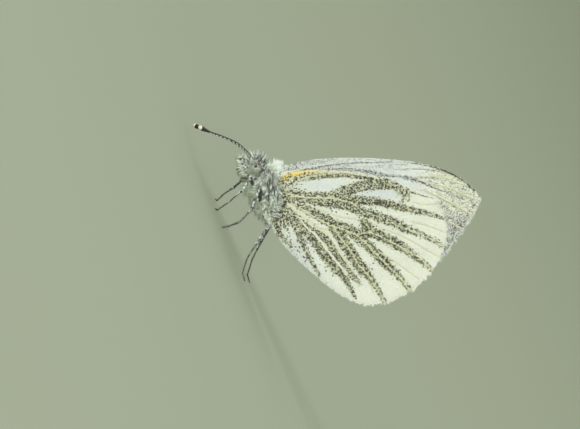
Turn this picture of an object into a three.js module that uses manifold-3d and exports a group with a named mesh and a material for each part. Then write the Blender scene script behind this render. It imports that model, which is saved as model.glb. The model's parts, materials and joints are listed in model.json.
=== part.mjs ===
// A green-veined white butterfly (Pieris napi) at rest, life size, with its wings closed over its back.
// Millimetres, +Z up. It stands on z = 0 and faces -X, so its left side is -Y.
// The hairy parts are modelled out to the tips of their hair.
import * as THREE from "three";
import { mergeVertices } from "three/addons/utils/BufferGeometryUtils.js";
import Module from "manifold-3d";

const wasm = await Module();
wasm.setup();

// Driving dimensions
const wingPitch = THREE.MathUtils.degToRad(68); // the closed wings lean back by this from the floor
const wingHinge = { x: -2.5, z: 6.7 }; // the wing roots' middle, and the origin of the wing frame
const wingThickness = 0.5;
const closedHalfGap = 0.37; // the forewing's middle surface, from the plane of symmetry
const hingeSpread = 0.5; // how much further out the roots stand
const spreadLength = 2.5; // over which the wings close
const wingLayer = 0.6; // from the forewing's middle surface out to the hindwing's
const abdomenBulge = { height: 0.32, width: 1.7 }; // the hindwings' swelling round the abdomen
const eyeRadius = 0.74;
const clearance = 0.05; // between pieces that meet
const floorSink = 0.06; // how much of a foot's round underside is flattened on the floor

// Materials

function finish(color, roughness) {
  return new THREE.MeshStandardMaterial({ color, roughness, metalness: 0 });
}

const finishes = {
  forewing: finish(0xdfe3d3, 0.75),
  hindwing: finish(0xd9ddc0, 0.75),
  thoraxCoat: finish(0xa9b2a0, 0.95),
  headCoat: finish(0xb4b8a8, 0.95),
  abdomenCoat: finish(0xc9cdbc, 0.9),
  eye: finish(0x9fb39d, 0.25),
  palp: finish(0xc2c7b8, 0.95),
  proboscis: finish(0x7d5a34, 0.5),
  leg: finish(0x8b8b82, 0.6),
  antenna: finish(0x3b3a36, 0.6),
  club: finish(0x2b2722, 0.6),
};

// Solids

function solidOf(geometry) {
  const bare = geometry.clone();
  bare.deleteAttribute("normal");
  bare.deleteAttribute("uv");
  const merged = mergeVertices(bare, 1e-4);
  return new wasm.Manifold(
    new wasm.Mesh({
      numProp: 3,
      vertProperties: merged.attributes.position.array,
      triVerts: new Uint32Array(merged.index.array),
    }),
  );
}

function geometryOf(solid) {
  const mesh = solid.getMesh();
  const geometry = new THREE.BufferGeometry();
  geometry.setAttribute("position", new THREE.BufferAttribute(mesh.vertProperties, 3));
  geometry.setIndex(new THREE.BufferAttribute(mesh.triVerts, 1));
  geometry.computeVertexNormals();
  return geometry;
}

// The geometry without its neighbours. Where they leave several bodies, the largest is kept.
function clearOf(geometry, ...neighbours) {
  const rest = neighbours.reduce((solid, n) => solid.subtract(solidOf(n)), solidOf(geometry));
  const bodies = rest.decompose();
  bodies.sort((a, b) => b.volume() - a.volume());
  return geometryOf(bodies[0]);
}

// A closed form along a smooth path, from a cylinder bent and swollen to fit.
// Each stop is [x, y, z, half width, half height], the width being along Y on a path in the XZ plane.
// Only the stretch between the shares from and to of the stops is made, both ends flat.
function loft(stops, { around, along, grow = 0, from = 0, to = 1 }) {
  const path = new THREE.CatmullRomCurve3(stops.map(([x, y, z]) => new THREE.Vector3(x, y, z)));
  const size = new THREE.SplineCurve(stops.map(([, , , w, h]) => new THREE.Vector2(w, h ?? w)));
  const along01 = (share) => from + (to - from) * share;
  path.getPointAt = (share) => path.getPoint(along01(share)); // even steps between the stops
  path.getTangentAt = (share) => path.getTangent(along01(share));
  const frames = path.computeFrenetFrames(along, false);
  const geometry = new THREE.CylinderGeometry(1, 1, 1, around, along);
  const position = geometry.attributes.position;
  const vertex = new THREE.Vector3();
  for (let i = 0; i < position.count; i++) {
    vertex.fromBufferAttribute(position, i);
    const step = Math.round((vertex.y + 0.5) * along);
    const section = size.getPoint(along01(step / along));
    const out = path
      .getPointAt(step / along)
      .addScaledVector(frames.binormals[step], vertex.x * (section.y + grow))
      .addScaledVector(frames.normals[step], vertex.z * (section.x + grow));
    position.setXYZ(i, out.x, out.y, out.z);
  }
  return geometry;
}

// The body, in stops of [x, y, z, half width, half height] from the face to the tip of the abdomen.
// The head hangs forward and down from the high, furry front of the thorax.
const head = [
  [-7.5, 0, 5.3, 0.3, 0.4],
  [-7.25, 0, 5.38, 0.72, 0.8],
  [-6.75, 0, 5.56, 1.0, 1.08],
  [-6.2, 0, 5.8, 1.1, 1.2],
  [-5.75, 0, 6.02, 1.0, 1.15],
  [-5.5, 0, 6.14, 0.85, 1.0],
];
const trunk = [
  [-5.62, 0, 6.12, 0.95, 1.25],
  [-5.3, 0, 6.3, 1.22, 1.85],
  [-4.9, 0, 6.47, 1.4, 2.14],
  [-4.4, 0, 6.58, 1.54, 2.24],
  [-3.7, 0, 6.52, 1.66, 2.28],
  [-2.8, 0, 6.34, 1.7, 2.18],
  [-1.9, 0, 6.12, 1.63, 1.98],
  [-1.05, 0, 5.97, 1.38, 1.72],
  [-0.45, 0, 5.94, 1.08, 1.36],
];
const collarShare = 0.25; // of the trunk's stops, the rest being the thorax
const abdomen = [
  [-0.4, 0, 6.03, 0.85, 0.95],
  [0.4, 0, 6.2, 1.0, 1.12],
  [1.8, 0, 6.62, 1.08, 1.2],
  [3.4, 0, 7.12, 1.02, 1.14],
  [5.0, 0, 7.62, 0.85, 0.98],
  [6.2, 0, 8.0, 0.62, 0.74],
  [6.85, 0, 8.2, 0.38, 0.46],
  [7.1, 0, 8.27, 0.2, 0.25],
];
const eyeCentre = new THREE.Vector3(-6.3, -0.82, 5.66); // the left one's

const bodyForms = {
  head: (grow) => loft(head, { around: 16, along: 10, grow }),
  collar: (grow) => loft(trunk, { around: 18, along: 3, grow, to: collarShare }),
  thorax: (grow) => loft(trunk, { around: 18, along: 10, grow, from: collarShare }),
  abdomen: (grow) => loft(abdomen, { around: 14, along: 12, grow }),
};

// The left eye, a little flattened against the head. The right one is its mirror image.
function eyeForm(grow) {
  const eye = new THREE.SphereGeometry(eyeRadius + grow, 14, 10);
  eye.scale(1, 0.82, 1.06);
  return eye.translate(eyeCentre.x, eyeCentre.y, eyeCentre.z);
}

function mirrored(geometry) {
  const flipped = geometry.clone().scale(1, -1, 1);
  const index = flipped.index.array;
  for (let i = 0; i < index.length; i += 3) [index[i + 1], index[i + 2]] = [index[i + 2], index[i + 1]];
  return flipped;
}

// Mouthparts and antennae, on the left side
const palp = [
  [-5.7, -0.56, 4.72, 0.3, 0.34],
  [-6.2, -0.6, 4.42, 0.31, 0.4],
  [-6.9, -0.6, 4.32, 0.3, 0.42],
  [-7.6, -0.56, 4.42, 0.27, 0.34],
  [-8.1, -0.5, 4.6, 0.25, 0.27],
  [-8.25, -0.48, 4.68, 0.16, 0.16],
];
const coil = { x: -5.75, z: 4.4, radius: 0.48, halfWidth: 0.25 };
const antennaPaths = {
  left: [
    [-7.05, -0.36, 5.85],
    [-8.3, -1.15, 5.55],
    [-9.55, -2.05, 4.96],
    [-10.8, -3.1, 3.85],
    [-11.75, -4.05, 2.86],
  ],
  right: [
    [-7.05, 0.36, 5.85],
    [-8.3, 1.2, 5.35],
    [-9.6, 2.15, 4.55],
    [-10.85, 3.2, 3.35],
    [-11.8, 4.15, 2.2],
  ],
};
const clubTips = { left: [-12.9, -5.1, 1.84], right: [-13.1, 5.1, 0.9] };
const shaftRadius = 0.25;
const clubRadius = 0.34;

function shaftForm(side) {
  return loft(
    antennaPaths[side].map((point) => [...point, shaftRadius]),
    { around: 7, along: 12 },
  );
}

// The club swells from the shaft's end and closes in a blunt tip.
function clubForm(side) {
  const start = new THREE.Vector3(...antennaPaths[side].at(-1));
  const tip = new THREE.Vector3(...clubTips[side]);
  const along = tip.clone().sub(start);
  start.addScaledVector(along, clearance / along.length());
  const shares = [
    [0, shaftRadius],
    [0.35, 0.9 * clubRadius],
    [0.65, clubRadius],
    [0.9, 0.8 * clubRadius],
    [1, 0.4 * clubRadius],
  ];
  return loft(
    shares.map(([share, radius]) => [...start.clone().lerp(tip, share).toArray(), radius]),
    { around: 8, along: 6 },
  );
}

// Legs: each joint's place, from the body out. The foot lies on the floor from the heel to the toe.
const legJoints = {
  front_left: {
    hip: [-4.5, -0.6, 4.7],
    knee: [-5.5, -2.3, 4.95],
    ankle: [-4.55, -3.1, 3.5],
    arch: [-3.95, -3.35, 1.75],
    heel: [-3.6, -3.5, 0.35],
    toe: [-3.85, -4.05, 0.2],
  },
  front_right: {
    hip: [-4.5, 0.6, 4.6],
    knee: [-5.5, 1.8, 3.8],
    ankle: [-5.0, 2.6, 2.5],
    arch: [-4.7, 3.1, 1.2],
    heel: [-4.3, 3.4, 0.35],
    toe: [-4.5, 3.95, 0.2],
  },
  middle_left: {
    hip: [-2.0, -0.75, 4.5],
    knee: [-4.15, -2.85, 5.5],
    ankle: [-2.15, -3.75, 3.6],
    arch: [-1.45, -4.15, 1.9],
    heel: [-1.6, -4.45, 0.35],
    toe: [-1.75, -5.05, 0.2],
  },
  middle_right: {
    hip: [-2.0, 0.75, 4.5],
    knee: [-3.6, 2.9, 5.2],
    ankle: [-1.9, 3.75, 3.4],
    arch: [-1.15, 4.15, 1.8],
    heel: [-1.05, 4.45, 0.35],
    toe: [-1.2, 5.05, 0.2],
  },
  hind_left: {
    hip: [-1.0, -0.7, 4.6],
    knee: [0.15, -2.6, 4.95],
    ankle: [1.5, -3.25, 2.75],
    arch: [2.6, -3.6, 1.25],
    heel: [3.85, -3.85, 0.35],
    toe: [4.75, -4.1, 0.2],
  },
  hind_right: {
    hip: [-1.0, 0.7, 4.6],
    knee: [0.3, 2.6, 4.95],
    ankle: [1.9, 3.3, 3.0],
    arch: [3.3, 3.7, 1.4],
    heel: [4.75, 3.95, 0.35],
    toe: [5.65, 4.2, 0.2],
  },
};
const femurRadii = [0.4, 0.36, 0.3];
const tibiaRadii = [0.29, 0.26, 0.25];
const tarsusRadius = 0.25;

// A leg's straight length between two joints, thick in its middle and rounded off at both ends
function legBone(from, to, [first, middle, last], grow = 0) {
  const a = new THREE.Vector3(...from);
  const b = new THREE.Vector3(...to);
  const shares = [
    [0, 0.6 * first],
    [0.08, first],
    [0.45, middle],
    [0.94, last],
    [1, 0.7 * last],
  ];
  return loft(
    shares.map(([share, radius]) => [...a.clone().lerp(b, share).toArray(), radius]),
    { around: 7, along: 5, grow },
  );
}

function tarsusForm({ ankle, arch, heel, toe }) {
  const foot = loft(
    [ankle, arch, heel, toe].map((point) => [...point, tarsusRadius]),
    { around: 7, along: 8 },
  );
  const position = foot.attributes.position;
  for (let i = 0; i < position.count; i++)
    if (position.getZ(i) < floorSink) position.setZ(i, 0);
  return foot;
}

// Wings, in the wing frame: [u, v] with u rearwards from the hinge and v towards the leading edge
const forewing = {
  root: [
    [-0.35, 2.3],
    [-0.3, 0],
  ],
  margin: [
    [0, 2.75],
    [2.6, 3.68],
    [5.8, 4.08],
    [10, 4.1],
    [14, 3.84],
    [17.6, 3.2],
    [20.2, 2.1],
    [21.9, 0.75],
    [22.6, -0.35],
    [22.3, -1.5],
    [20.9, -3.8],
    [19, -6.4],
    [17.6, -7.9],
    [16.4, -8.3],
    [13, -7],
    [7, -3.8],
    [0.6, -0.5],
  ],
  around: 28,
  across: 5,
};
const hindwing = {
  root: [
    [-0.3, 0.9],
    [-0.5, -1.2],
  ],
  margin: [
    [0.1, 1.5],
    [1.2, 2.45],
    [3.8, 2.86],
    [8, 2.64],
    [12.2, 1.93],
    [15.9, 0.5],
    [18.2, -1.25],
    [19.1, -4],
    [18.4, -6.7],
    [16.4, -9.6],
    [13.6, -11.4],
    [10.6, -12.2],
    [7.6, -11.1],
    [4.3, -8.6],
    [1.2, -5.6],
    [-0.3, -3.4],
    [-0.6, -2.1],
  ],
  around: 28,
  across: 5,
};
function wingFrame(x, z) {
  const dx = x - wingHinge.x;
  const dz = z - wingHinge.z;
  const cos = Math.cos(wingPitch);
  const sin = Math.sin(wingPitch);
  return new THREE.Vector2(dx * cos + dz * sin, dz * cos - dx * sin);
}

const abdomenLine = [abdomen[0], abdomen.at(-2)].map(([x, , z]) => wingFrame(x, z));

function distanceToAbdomen(u, v) {
  const [base, tip] = abdomenLine;
  const along = tip.clone().sub(base);
  const share = new THREE.Vector2(u, v).sub(base).dot(along) / along.lengthSq();
  return base.clone().addScaledVector(along, THREE.MathUtils.clamp(share, 0, 1)).distanceTo(new THREE.Vector2(u, v));
}

// How far each wing's middle surface is from the plane of symmetry
function forewingOffset(u) {
  return closedHalfGap + hingeSpread * Math.exp(-Math.max(u, 0) / spreadLength);
}

function hindwingOffset(u, v) {
  const { height, width } = abdomenBulge;
  const swelling = height * Math.exp(-((distanceToAbdomen(u, v) / width) ** 2));
  return forewingOffset(u) + wingLayer + swelling;
}

// The left wing, a slab whose short edge is its root and whose other edges follow the margin
function wingForm({ root, margin, around, across }, offset) {
  const outline = new THREE.SplineCurve(margin.map((point) => new THREE.Vector2(...point)));
  const [rootStart, rootEnd] = root.map((point) => new THREE.Vector2(...point));
  const slab = new THREE.BoxGeometry(1, wingThickness, 1, around, 1, across);
  const position = slab.attributes.position;
  for (let i = 0; i < position.count; i++) {
    const share = position.getX(i) + 0.5;
    const inner = rootStart.clone().lerp(rootEnd, share);
    const place = inner.lerp(outline.getPoint(share), position.getZ(i) + 0.5);
    position.setXYZ(i, place.x, position.getY(i) - offset(place.x, place.y), place.y);
  }
  return slab;
}

// Assembly

const butterfly = new THREE.Group();
const closedWings = new THREE.Group();
closedWings.position.set(wingHinge.x, 0, wingHinge.z);
closedWings.rotation.y = -wingPitch;
closedWings.updateMatrix();
butterfly.add(closedWings);

function add(name, geometry, material, group = butterfly) {
  const mesh = new THREE.Mesh(geometry, material);
  mesh.name = name;
  group.add(mesh);
}

function addPair(name, leftGeometry, material, group) {
  add(`${name}_left`, leftGeometry, material, group);
  add(`${name}_right`, mirrored(leftGeometry), material, group);
}

const eyeSockets = [eyeForm(clearance), mirrored(eyeForm(clearance))];
add("head", clearOf(bodyForms.head(0), ...eyeSockets), finishes.headCoat);
add("collar", clearOf(bodyForms.collar(0), bodyForms.head(clearance)), finishes.thoraxCoat);
add("thorax", clearOf(bodyForms.thorax(0), bodyForms.collar(clearance)), finishes.thoraxCoat);
add("abdomen", clearOf(bodyForms.abdomen(0), bodyForms.thorax(clearance)), finishes.abdomenCoat);
addPair("eye", eyeForm(0), finishes.eye);

const palpForm = loft(palp, { around: 10, along: 8 });
addPair("palp", clearOf(palpForm, bodyForms.head(clearance), ...eyeSockets), finishes.palp);

// The proboscis is coiled up between the palps.
const { x: coilX, z: coilZ, radius: coilRadius, halfWidth: coilHalfWidth } = coil;
const coilProfile = [
  [0, -coilHalfWidth],
  [0.8 * coilRadius, -coilHalfWidth],
  [coilRadius, -0.5 * coilHalfWidth],
  [coilRadius, 0.5 * coilHalfWidth],
  [0.8 * coilRadius, coilHalfWidth],
  [0, coilHalfWidth],
].map((point) => new THREE.Vector2(...point));
const coilForm = new THREE.LatheGeometry(coilProfile, 16).translate(coilX, 0, coilZ);
add("proboscis", clearOf(coilForm, bodyForms.head(clearance)), finishes.proboscis);

for (const side of ["left", "right"]) {
  const shaft = clearOf(shaftForm(side), bodyForms.head(clearance), ...eyeSockets);
  add(`antenna_${side}`, shaft, finishes.antenna);
  add(`antenna_club_${side}`, clubForm(side), finishes.club);
}

const trunkRoom = [bodyForms.collar(clearance), bodyForms.thorax(clearance)];
for (const [name, joints] of Object.entries(legJoints)) {
  const { hip, knee, ankle } = joints;
  const femur = legBone(hip, knee, femurRadii);
  const tibia = legBone(knee, ankle, tibiaRadii);
  add(`leg_${name}_femur`, clearOf(femur, ...trunkRoom), finishes.leg);
  add(`leg_${name}_tibia`, clearOf(tibia, legBone(hip, knee, femurRadii, clearance)), finishes.leg);
  const tarsus = clearOf(tarsusForm(joints), legBone(knee, ankle, tibiaRadii, clearance));
  add(`leg_${name}_tarsus`, tarsus, finishes.leg);
}

const intoWingFrame = closedWings.matrix.clone().invert();
const bodyInWingFrame = ["collar", "thorax", "abdomen"].map((part) =>
  bodyForms[part](clearance).applyMatrix4(intoWingFrame),
);
for (const [name, outline, offset] of [
  ["forewing", forewing, forewingOffset],
  ["hindwing", hindwing, hindwingOffset],
])
  addPair(name, clearOf(wingForm(outline, offset), ...bodyInWingFrame), finishes[name], closedWings);

export default butterfly;
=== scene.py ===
import json
import math

import bmesh
import bpy
import numpy as np
from mathutils import Matrix, Vector

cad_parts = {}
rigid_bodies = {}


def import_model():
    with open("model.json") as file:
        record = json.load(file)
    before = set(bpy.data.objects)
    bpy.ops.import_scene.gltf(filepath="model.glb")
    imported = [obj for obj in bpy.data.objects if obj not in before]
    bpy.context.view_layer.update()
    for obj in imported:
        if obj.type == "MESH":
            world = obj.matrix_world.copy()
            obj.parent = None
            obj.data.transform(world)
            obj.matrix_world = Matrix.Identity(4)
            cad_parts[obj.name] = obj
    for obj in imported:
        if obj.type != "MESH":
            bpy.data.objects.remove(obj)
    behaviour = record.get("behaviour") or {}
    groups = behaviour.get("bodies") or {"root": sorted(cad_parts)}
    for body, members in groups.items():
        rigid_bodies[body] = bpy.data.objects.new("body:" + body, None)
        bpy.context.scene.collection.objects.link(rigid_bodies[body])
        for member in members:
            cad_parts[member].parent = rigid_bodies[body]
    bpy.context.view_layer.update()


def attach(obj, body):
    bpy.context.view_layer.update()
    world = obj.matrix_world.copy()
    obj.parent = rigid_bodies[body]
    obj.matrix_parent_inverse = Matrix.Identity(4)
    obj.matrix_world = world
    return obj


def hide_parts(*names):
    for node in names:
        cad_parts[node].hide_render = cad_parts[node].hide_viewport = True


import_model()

mm = 0.001  # the model's sizes below are in millimetres, those of stage, lights and camera in metres
rng = np.random.default_rng(23)


# Paths, fades and small meshes

def smoothPath(points, count):
    known = np.array(points, dtype=float)
    padded = np.vstack([2 * known[0] - known[1], known, 2 * known[-1] - known[-2]])
    where = np.linspace(0, len(known) - 1, count)
    i = np.minimum(where.astype(int), len(known) - 2)
    t = (where - i)[:, None]
    a, b, c, d = padded[i], padded[i + 1], padded[i + 2], padded[i + 3]
    square, cube = 2 * a - 5 * b + 4 * c - d, 3 * b - a - 3 * c + d
    return 0.5 * (2 * b + (c - a) * t + square * t**2 + cube * t**3)


def fade(zeroAt, oneAt, value):
    t = np.clip((value - zeroAt) / (oneAt - zeroAt), 0, 1)
    return t * t * (3 - 2 * t)


def bell(x, y, middle, reach):  # 1 at its middle and nothing far from it
    return np.exp(-(((x - middle[0]) / reach[0]) ** 2 + ((y - middle[1]) / reach[1]) ** 2))


def between(one, other, share):
    return one + (other - one) * share


def unit(vectors):
    return vectors / np.maximum(np.linalg.norm(vectors, axis=-1, keepdims=True), 1e-9)


def turned(x, y, angle):
    return x * np.cos(angle) - y * np.sin(angle), x * np.sin(angle) + y * np.cos(angle)


evenStep = np.array([0.7548776662, 0.5698402910])  # its multiples never bunch


def evenPairs(count):  # an even, unrepeating scatter over the unit square
    return (0.5 + np.arange(count)[:, None] * evenStep) % 1


def newObject(name, data):
    piece = bpy.data.objects.new(name, data)
    bpy.context.collection.objects.link(piece)
    return piece


def dress(piece, material, nodes=()):
    piece.data.materials.clear()
    piece.data.materials.append(material)
    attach(piece, "root")
    if nodes:
        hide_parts(*nodes)
    return piece


def smoothMesh(bm, name):  # the bmesh ends here as a mesh that is shaded smooth
    mesh = bpy.data.meshes.new(name)
    bm.to_mesh(mesh)
    bm.free()
    mesh.polygons.foreach_set("use_smooth", np.ones(len(mesh.polygons), dtype=bool))
    return mesh


def cornersOf(mesh):  # in millimetres
    place = np.empty(len(mesh.vertices) * 3, dtype=np.float32)
    mesh.vertices.foreach_get("co", place)
    return place.reshape(-1, 3) / mm


def addFloats(mesh, values):
    for name, numbers in values.items():
        layer = mesh.attributes.new(name, "FLOAT", "POINT")
        layer.data.foreach_set("value", np.ascontiguousarray(numbers, dtype=np.float32))


def scatter(name, places, faces, uvs, floats, smooth):
    # places are (pieces, corners, 3), faces index one piece's corners, uvs are (pieces, corners, 2)
    count, corners = places.shape[:2]
    indices = (np.arange(count)[:, None, None] * corners + np.array(faces)[None]).reshape(-1)
    mesh = bpy.data.meshes.new(name)
    mesh.vertices.add(count * corners)
    mesh.vertices.foreach_set("co", (places * mm).astype(np.float32).ravel())
    mesh.loops.add(len(indices))
    mesh.loops.foreach_set("vertex_index", indices.astype(np.int32))
    mesh.polygons.add(len(indices) // 3)
    mesh.polygons.foreach_set("loop_start", np.arange(0, len(indices), 3, dtype=np.int32))
    mesh.update(calc_edges=True)
    layer = mesh.uv_layers.new(name="OFBake")
    layer.data.foreach_set("uv", uvs.reshape(-1, 2)[indices].astype(np.float32).ravel())
    addFloats(mesh, {key: np.repeat(value, corners) for key, value in floats.items()})
    mesh.polygons.foreach_set("use_smooth", np.full(len(mesh.polygons), smooth))
    return newObject(name, mesh)


bakeMap = {"patch": 0.003, "edge": 0.02}  # each scale's or hair's size on its map, and the map's empty edge


def fillMap(unwrap):  # whatever part of an unwrap a piece covers is spread over its whole bake map
    low, high = unwrap.min(axis=0), unwrap.max(axis=0)
    return bakeMap["edge"] + (1 - 2 * bakeMap["edge"]) * (unwrap - low) / (high - low)


# One scale: root, two broad shoulders, tip and a raised crown, as (along, across, up)
scaleShape = np.array([
    (0.0, 0.0, 0.0), (0.7, -0.5, 0.5), (1.0, 0.0, 0.7), (0.7, 0.5, 0.5), (0.55, 0.0, 1.0),
])
scaleFaces = [(0, 1, 4), (1, 2, 4), (2, 3, 4), (3, 0, 4), (0, 3, 1), (3, 2, 1)]


def layScales(name, root, along, normal, length, width, rise, unwrap, floats):
    along = unit(along - normal * (along * normal).sum(1, keepdims=True))
    side = np.cross(normal, along)
    size = np.stack([length, width, rise], 1)[:, None] * scaleShape[None]
    places = root[:, None] + along[:, None] * size[..., :1] + side[:, None] * size[..., 1:2]
    places = places + normal[:, None] * size[..., 2:]
    uvs = fillMap(unwrap)[:, None] + bakeMap["patch"] * (scaleShape[None, :, :2] - (0.5, 0))
    return scatter(name, places, scaleFaces, uvs, floats, smooth=False)


# One hair: three corners round its root, three round its middle, and its tip
hairShape = {
    "turns": np.array([0.5, 2.6, 4.7]),  # where the corners stand round it
    "root": 0.5, "waist": 0.36,  # its half widths
    "middle": (0.5, 0.12), "tip": (0.94, 0.5),  # how far out, and how much of the droop
    "patch": np.array([(-.4, -.5), (.4, -.5), (0, -.5), (-.3, .1), (.3, .1), (0, .1), (0, .5)]),
}
hairFaces = [
    (0, 1, 4), (0, 4, 3), (1, 2, 5), (1, 5, 4), (2, 0, 3), (2, 3, 5),
    (3, 4, 6), (4, 5, 6), (5, 3, 6), (0, 2, 1),
]


def growHairs(name, root, heading, droop, length, width, unwrap, floats):
    # each hair leaves its root along heading and bends by droop towards its tip
    side = unit(np.cross(heading, droop + 0.01))  # the 0.01 gives hairs without a droop a side too
    up = np.cross(side, heading)
    turns = hairShape["turns"][None, :, None]
    ring = side[:, None] * np.cos(turns) + up[:, None] * np.sin(turns)
    reach, thick = length[:, None], width[:, None, None]
    middle, tip = (
        root + heading * reach * out + droop * reach * bent
        for out, bent in (hairShape["middle"], hairShape["tip"])
    )
    places = np.concatenate([
        root[:, None] + ring * thick * hairShape["root"],
        middle[:, None] + ring * thick * hairShape["waist"],
        tip[:, None],
    ], axis=1)
    uvs = fillMap(unwrap)[:, None] + hairShape["patch"][None] * bakeMap["patch"]
    return scatter(name, places, hairFaces, uvs, floats, smooth=True)


# A body, limb or feeler swept along its stops, each (x, y, z, half width, half height)

def sweep(stops, steps):
    path = smoothPath(stops, steps)
    heading = unit(np.gradient(path[:, :3], axis=0))
    sides = np.empty_like(heading)
    side = np.array([0.0, 1.0, 0.0])
    for i, ahead in enumerate(heading):
        side = unit(side - ahead * (side @ ahead))
        sides[i] = side
    return path, heading, sides, np.cross(heading, sides)


def tube(name, stops, sides, steps, waves=0, ripple=0.0):
    path, heading, across, up = sweep(stops, steps)
    swell = 1 + ripple * np.cos(np.linspace(0, 2 * math.pi * waves, steps))
    bm = bmesh.new()
    rings = []
    for i in range(steps):
        turn = Matrix((across[i], up[i], heading[i])).transposed().to_4x4()
        size = Matrix.Diagonal((path[i, 3] * swell[i], path[i, 4] * swell[i], 1, 1))
        where = Matrix.Translation(path[i, :3]) @ turn @ size
        capped = i in (0, steps - 1)
        made = bmesh.ops.create_circle(bm, cap_ends=capped, segments=sides, radius=1, matrix=where)
        rings.append(made["verts"])
    loops = [{edge for vert in ring for edge in vert.link_edges} for ring in rings]
    for one, other in zip(loops, loops[1:]):
        bmesh.ops.bridge_loops(bm, edges=list(one | other))
    bmesh.ops.recalc_face_normals(bm, faces=bm.faces[:])
    bmesh.ops.scale(bm, vec=(mm, mm, mm), verts=bm.verts[:])
    mesh = smoothMesh(bm, name)
    addFloats(mesh, {"share": np.repeat(np.linspace(0, 1, steps), sides)})
    return newObject(name, mesh)


rootGrid = {"along": 240, "around": 96}  # the cells that roots are drawn from


def rootsOn(stops, count, density):
    # places all over a swept form, as thick as density(share, place, outward) says
    along, around = rootGrid["along"], rootGrid["around"]
    path, heading, across, up = sweep(stops, along)
    turn = (np.arange(around) + 0.5) / around * 2 * math.pi
    cos, sin = np.cos(turn)[None, :, None], np.sin(turn)[None, :, None]
    wide, tall = path[:, 3][:, None, None], path[:, 4][:, None, None]
    places = path[:, None, :3] + across[:, None] * wide * cos + up[:, None] * tall * sin
    outward = unit(across[:, None] * cos / wide + up[:, None] * sin / tall)
    stepAlong, stepAround = np.gradient(places, axis=0), np.gradient(places, axis=1)
    area = np.linalg.norm(stepAlong, axis=-1) * np.linalg.norm(stepAround, axis=-1)
    share = np.repeat(np.linspace(0, 1, along)[:, None], around, axis=1)
    weight = area * density(share, places, outward)
    order = rng.choice(weight.size, count, p=(weight / weight.sum()).ravel())
    jitter = rng.uniform(-0.5, 0.5, (count, 2))
    row, column = order // around, order % around
    place = places[row, column] + stepAlong[row, column] * jitter[:, :1]
    place = place + stepAround[row, column] * jitter[:, 1:]
    unwrap = np.stack([(column + 0.5 + jitter[:, 1]) / around, (row + 0.5 + jitter[:, 0]) / along], 1)
    return place, outward[row, column], heading[row], share[row, column], np.clip(unwrap, 0, 1)


lockWaves = np.array([[1.0, 0.4, 0.7], [-0.5, 1.1, 0.6], [0.7, -0.8, 1.0]])  # three that cross each other


def tufted(place, scale, strength):  # neighbours lean together, so that hair falls into locks
    turns = place @ (lockWaves / scale).T * 2 * math.pi
    return np.sin(turns + 2.0 * np.sin(turns[:, [1, 2, 0]] * 0.7)) * strength


# Wings. Places on a wing are (u, v): u runs back from the hinge and v towards the leading edge.

wingSeat = {
    "hinge": (-2.5, 6.7), "pitch": math.radians(68),
    "halfGap": 0.37, "flare": 0.5, "flareLength": 2.5,  # from the plane of symmetry
    "layer": 0.6, "bulge": 0.32, "bulgeWidth": 1.7, "tuck": 0.3,  # the hindwing, outside the forewing
    "flute": 0.035,  # the height of the sheet's long waves
    "skinThickness": 0.07, "inset": 0.07, "fringeInset": 0.24,  # how far the skin ends inside the outline
    "around": 190, "across": 64, "margin": 240, "outline": 181,  # how finely skin and outline are divided
}
wingCos, wingSin = math.cos(wingSeat["pitch"]), math.sin(wingSeat["pitch"])


def placeOnWing(u, v, y):
    x = wingSeat["hinge"][0] + u * wingCos - v * wingSin
    z = wingSeat["hinge"][1] + u * wingSin + v * wingCos
    return np.stack([x, y, z], axis=-1)


def headingOnWing(du, dv, dy):
    return np.stack([du * wingCos - dv * wingSin, dy, du * wingSin + dv * wingCos], axis=-1)


def onWing(x, z):
    dx, dz = x - wingSeat["hinge"][0], z - wingSeat["hinge"][1]
    return dx * wingCos + dz * wingSin, dz * wingCos - dx * wingSin


abdomenLine = np.array([onWing(-0.4, 6.03), onWing(6.85, 8.2)])

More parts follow.
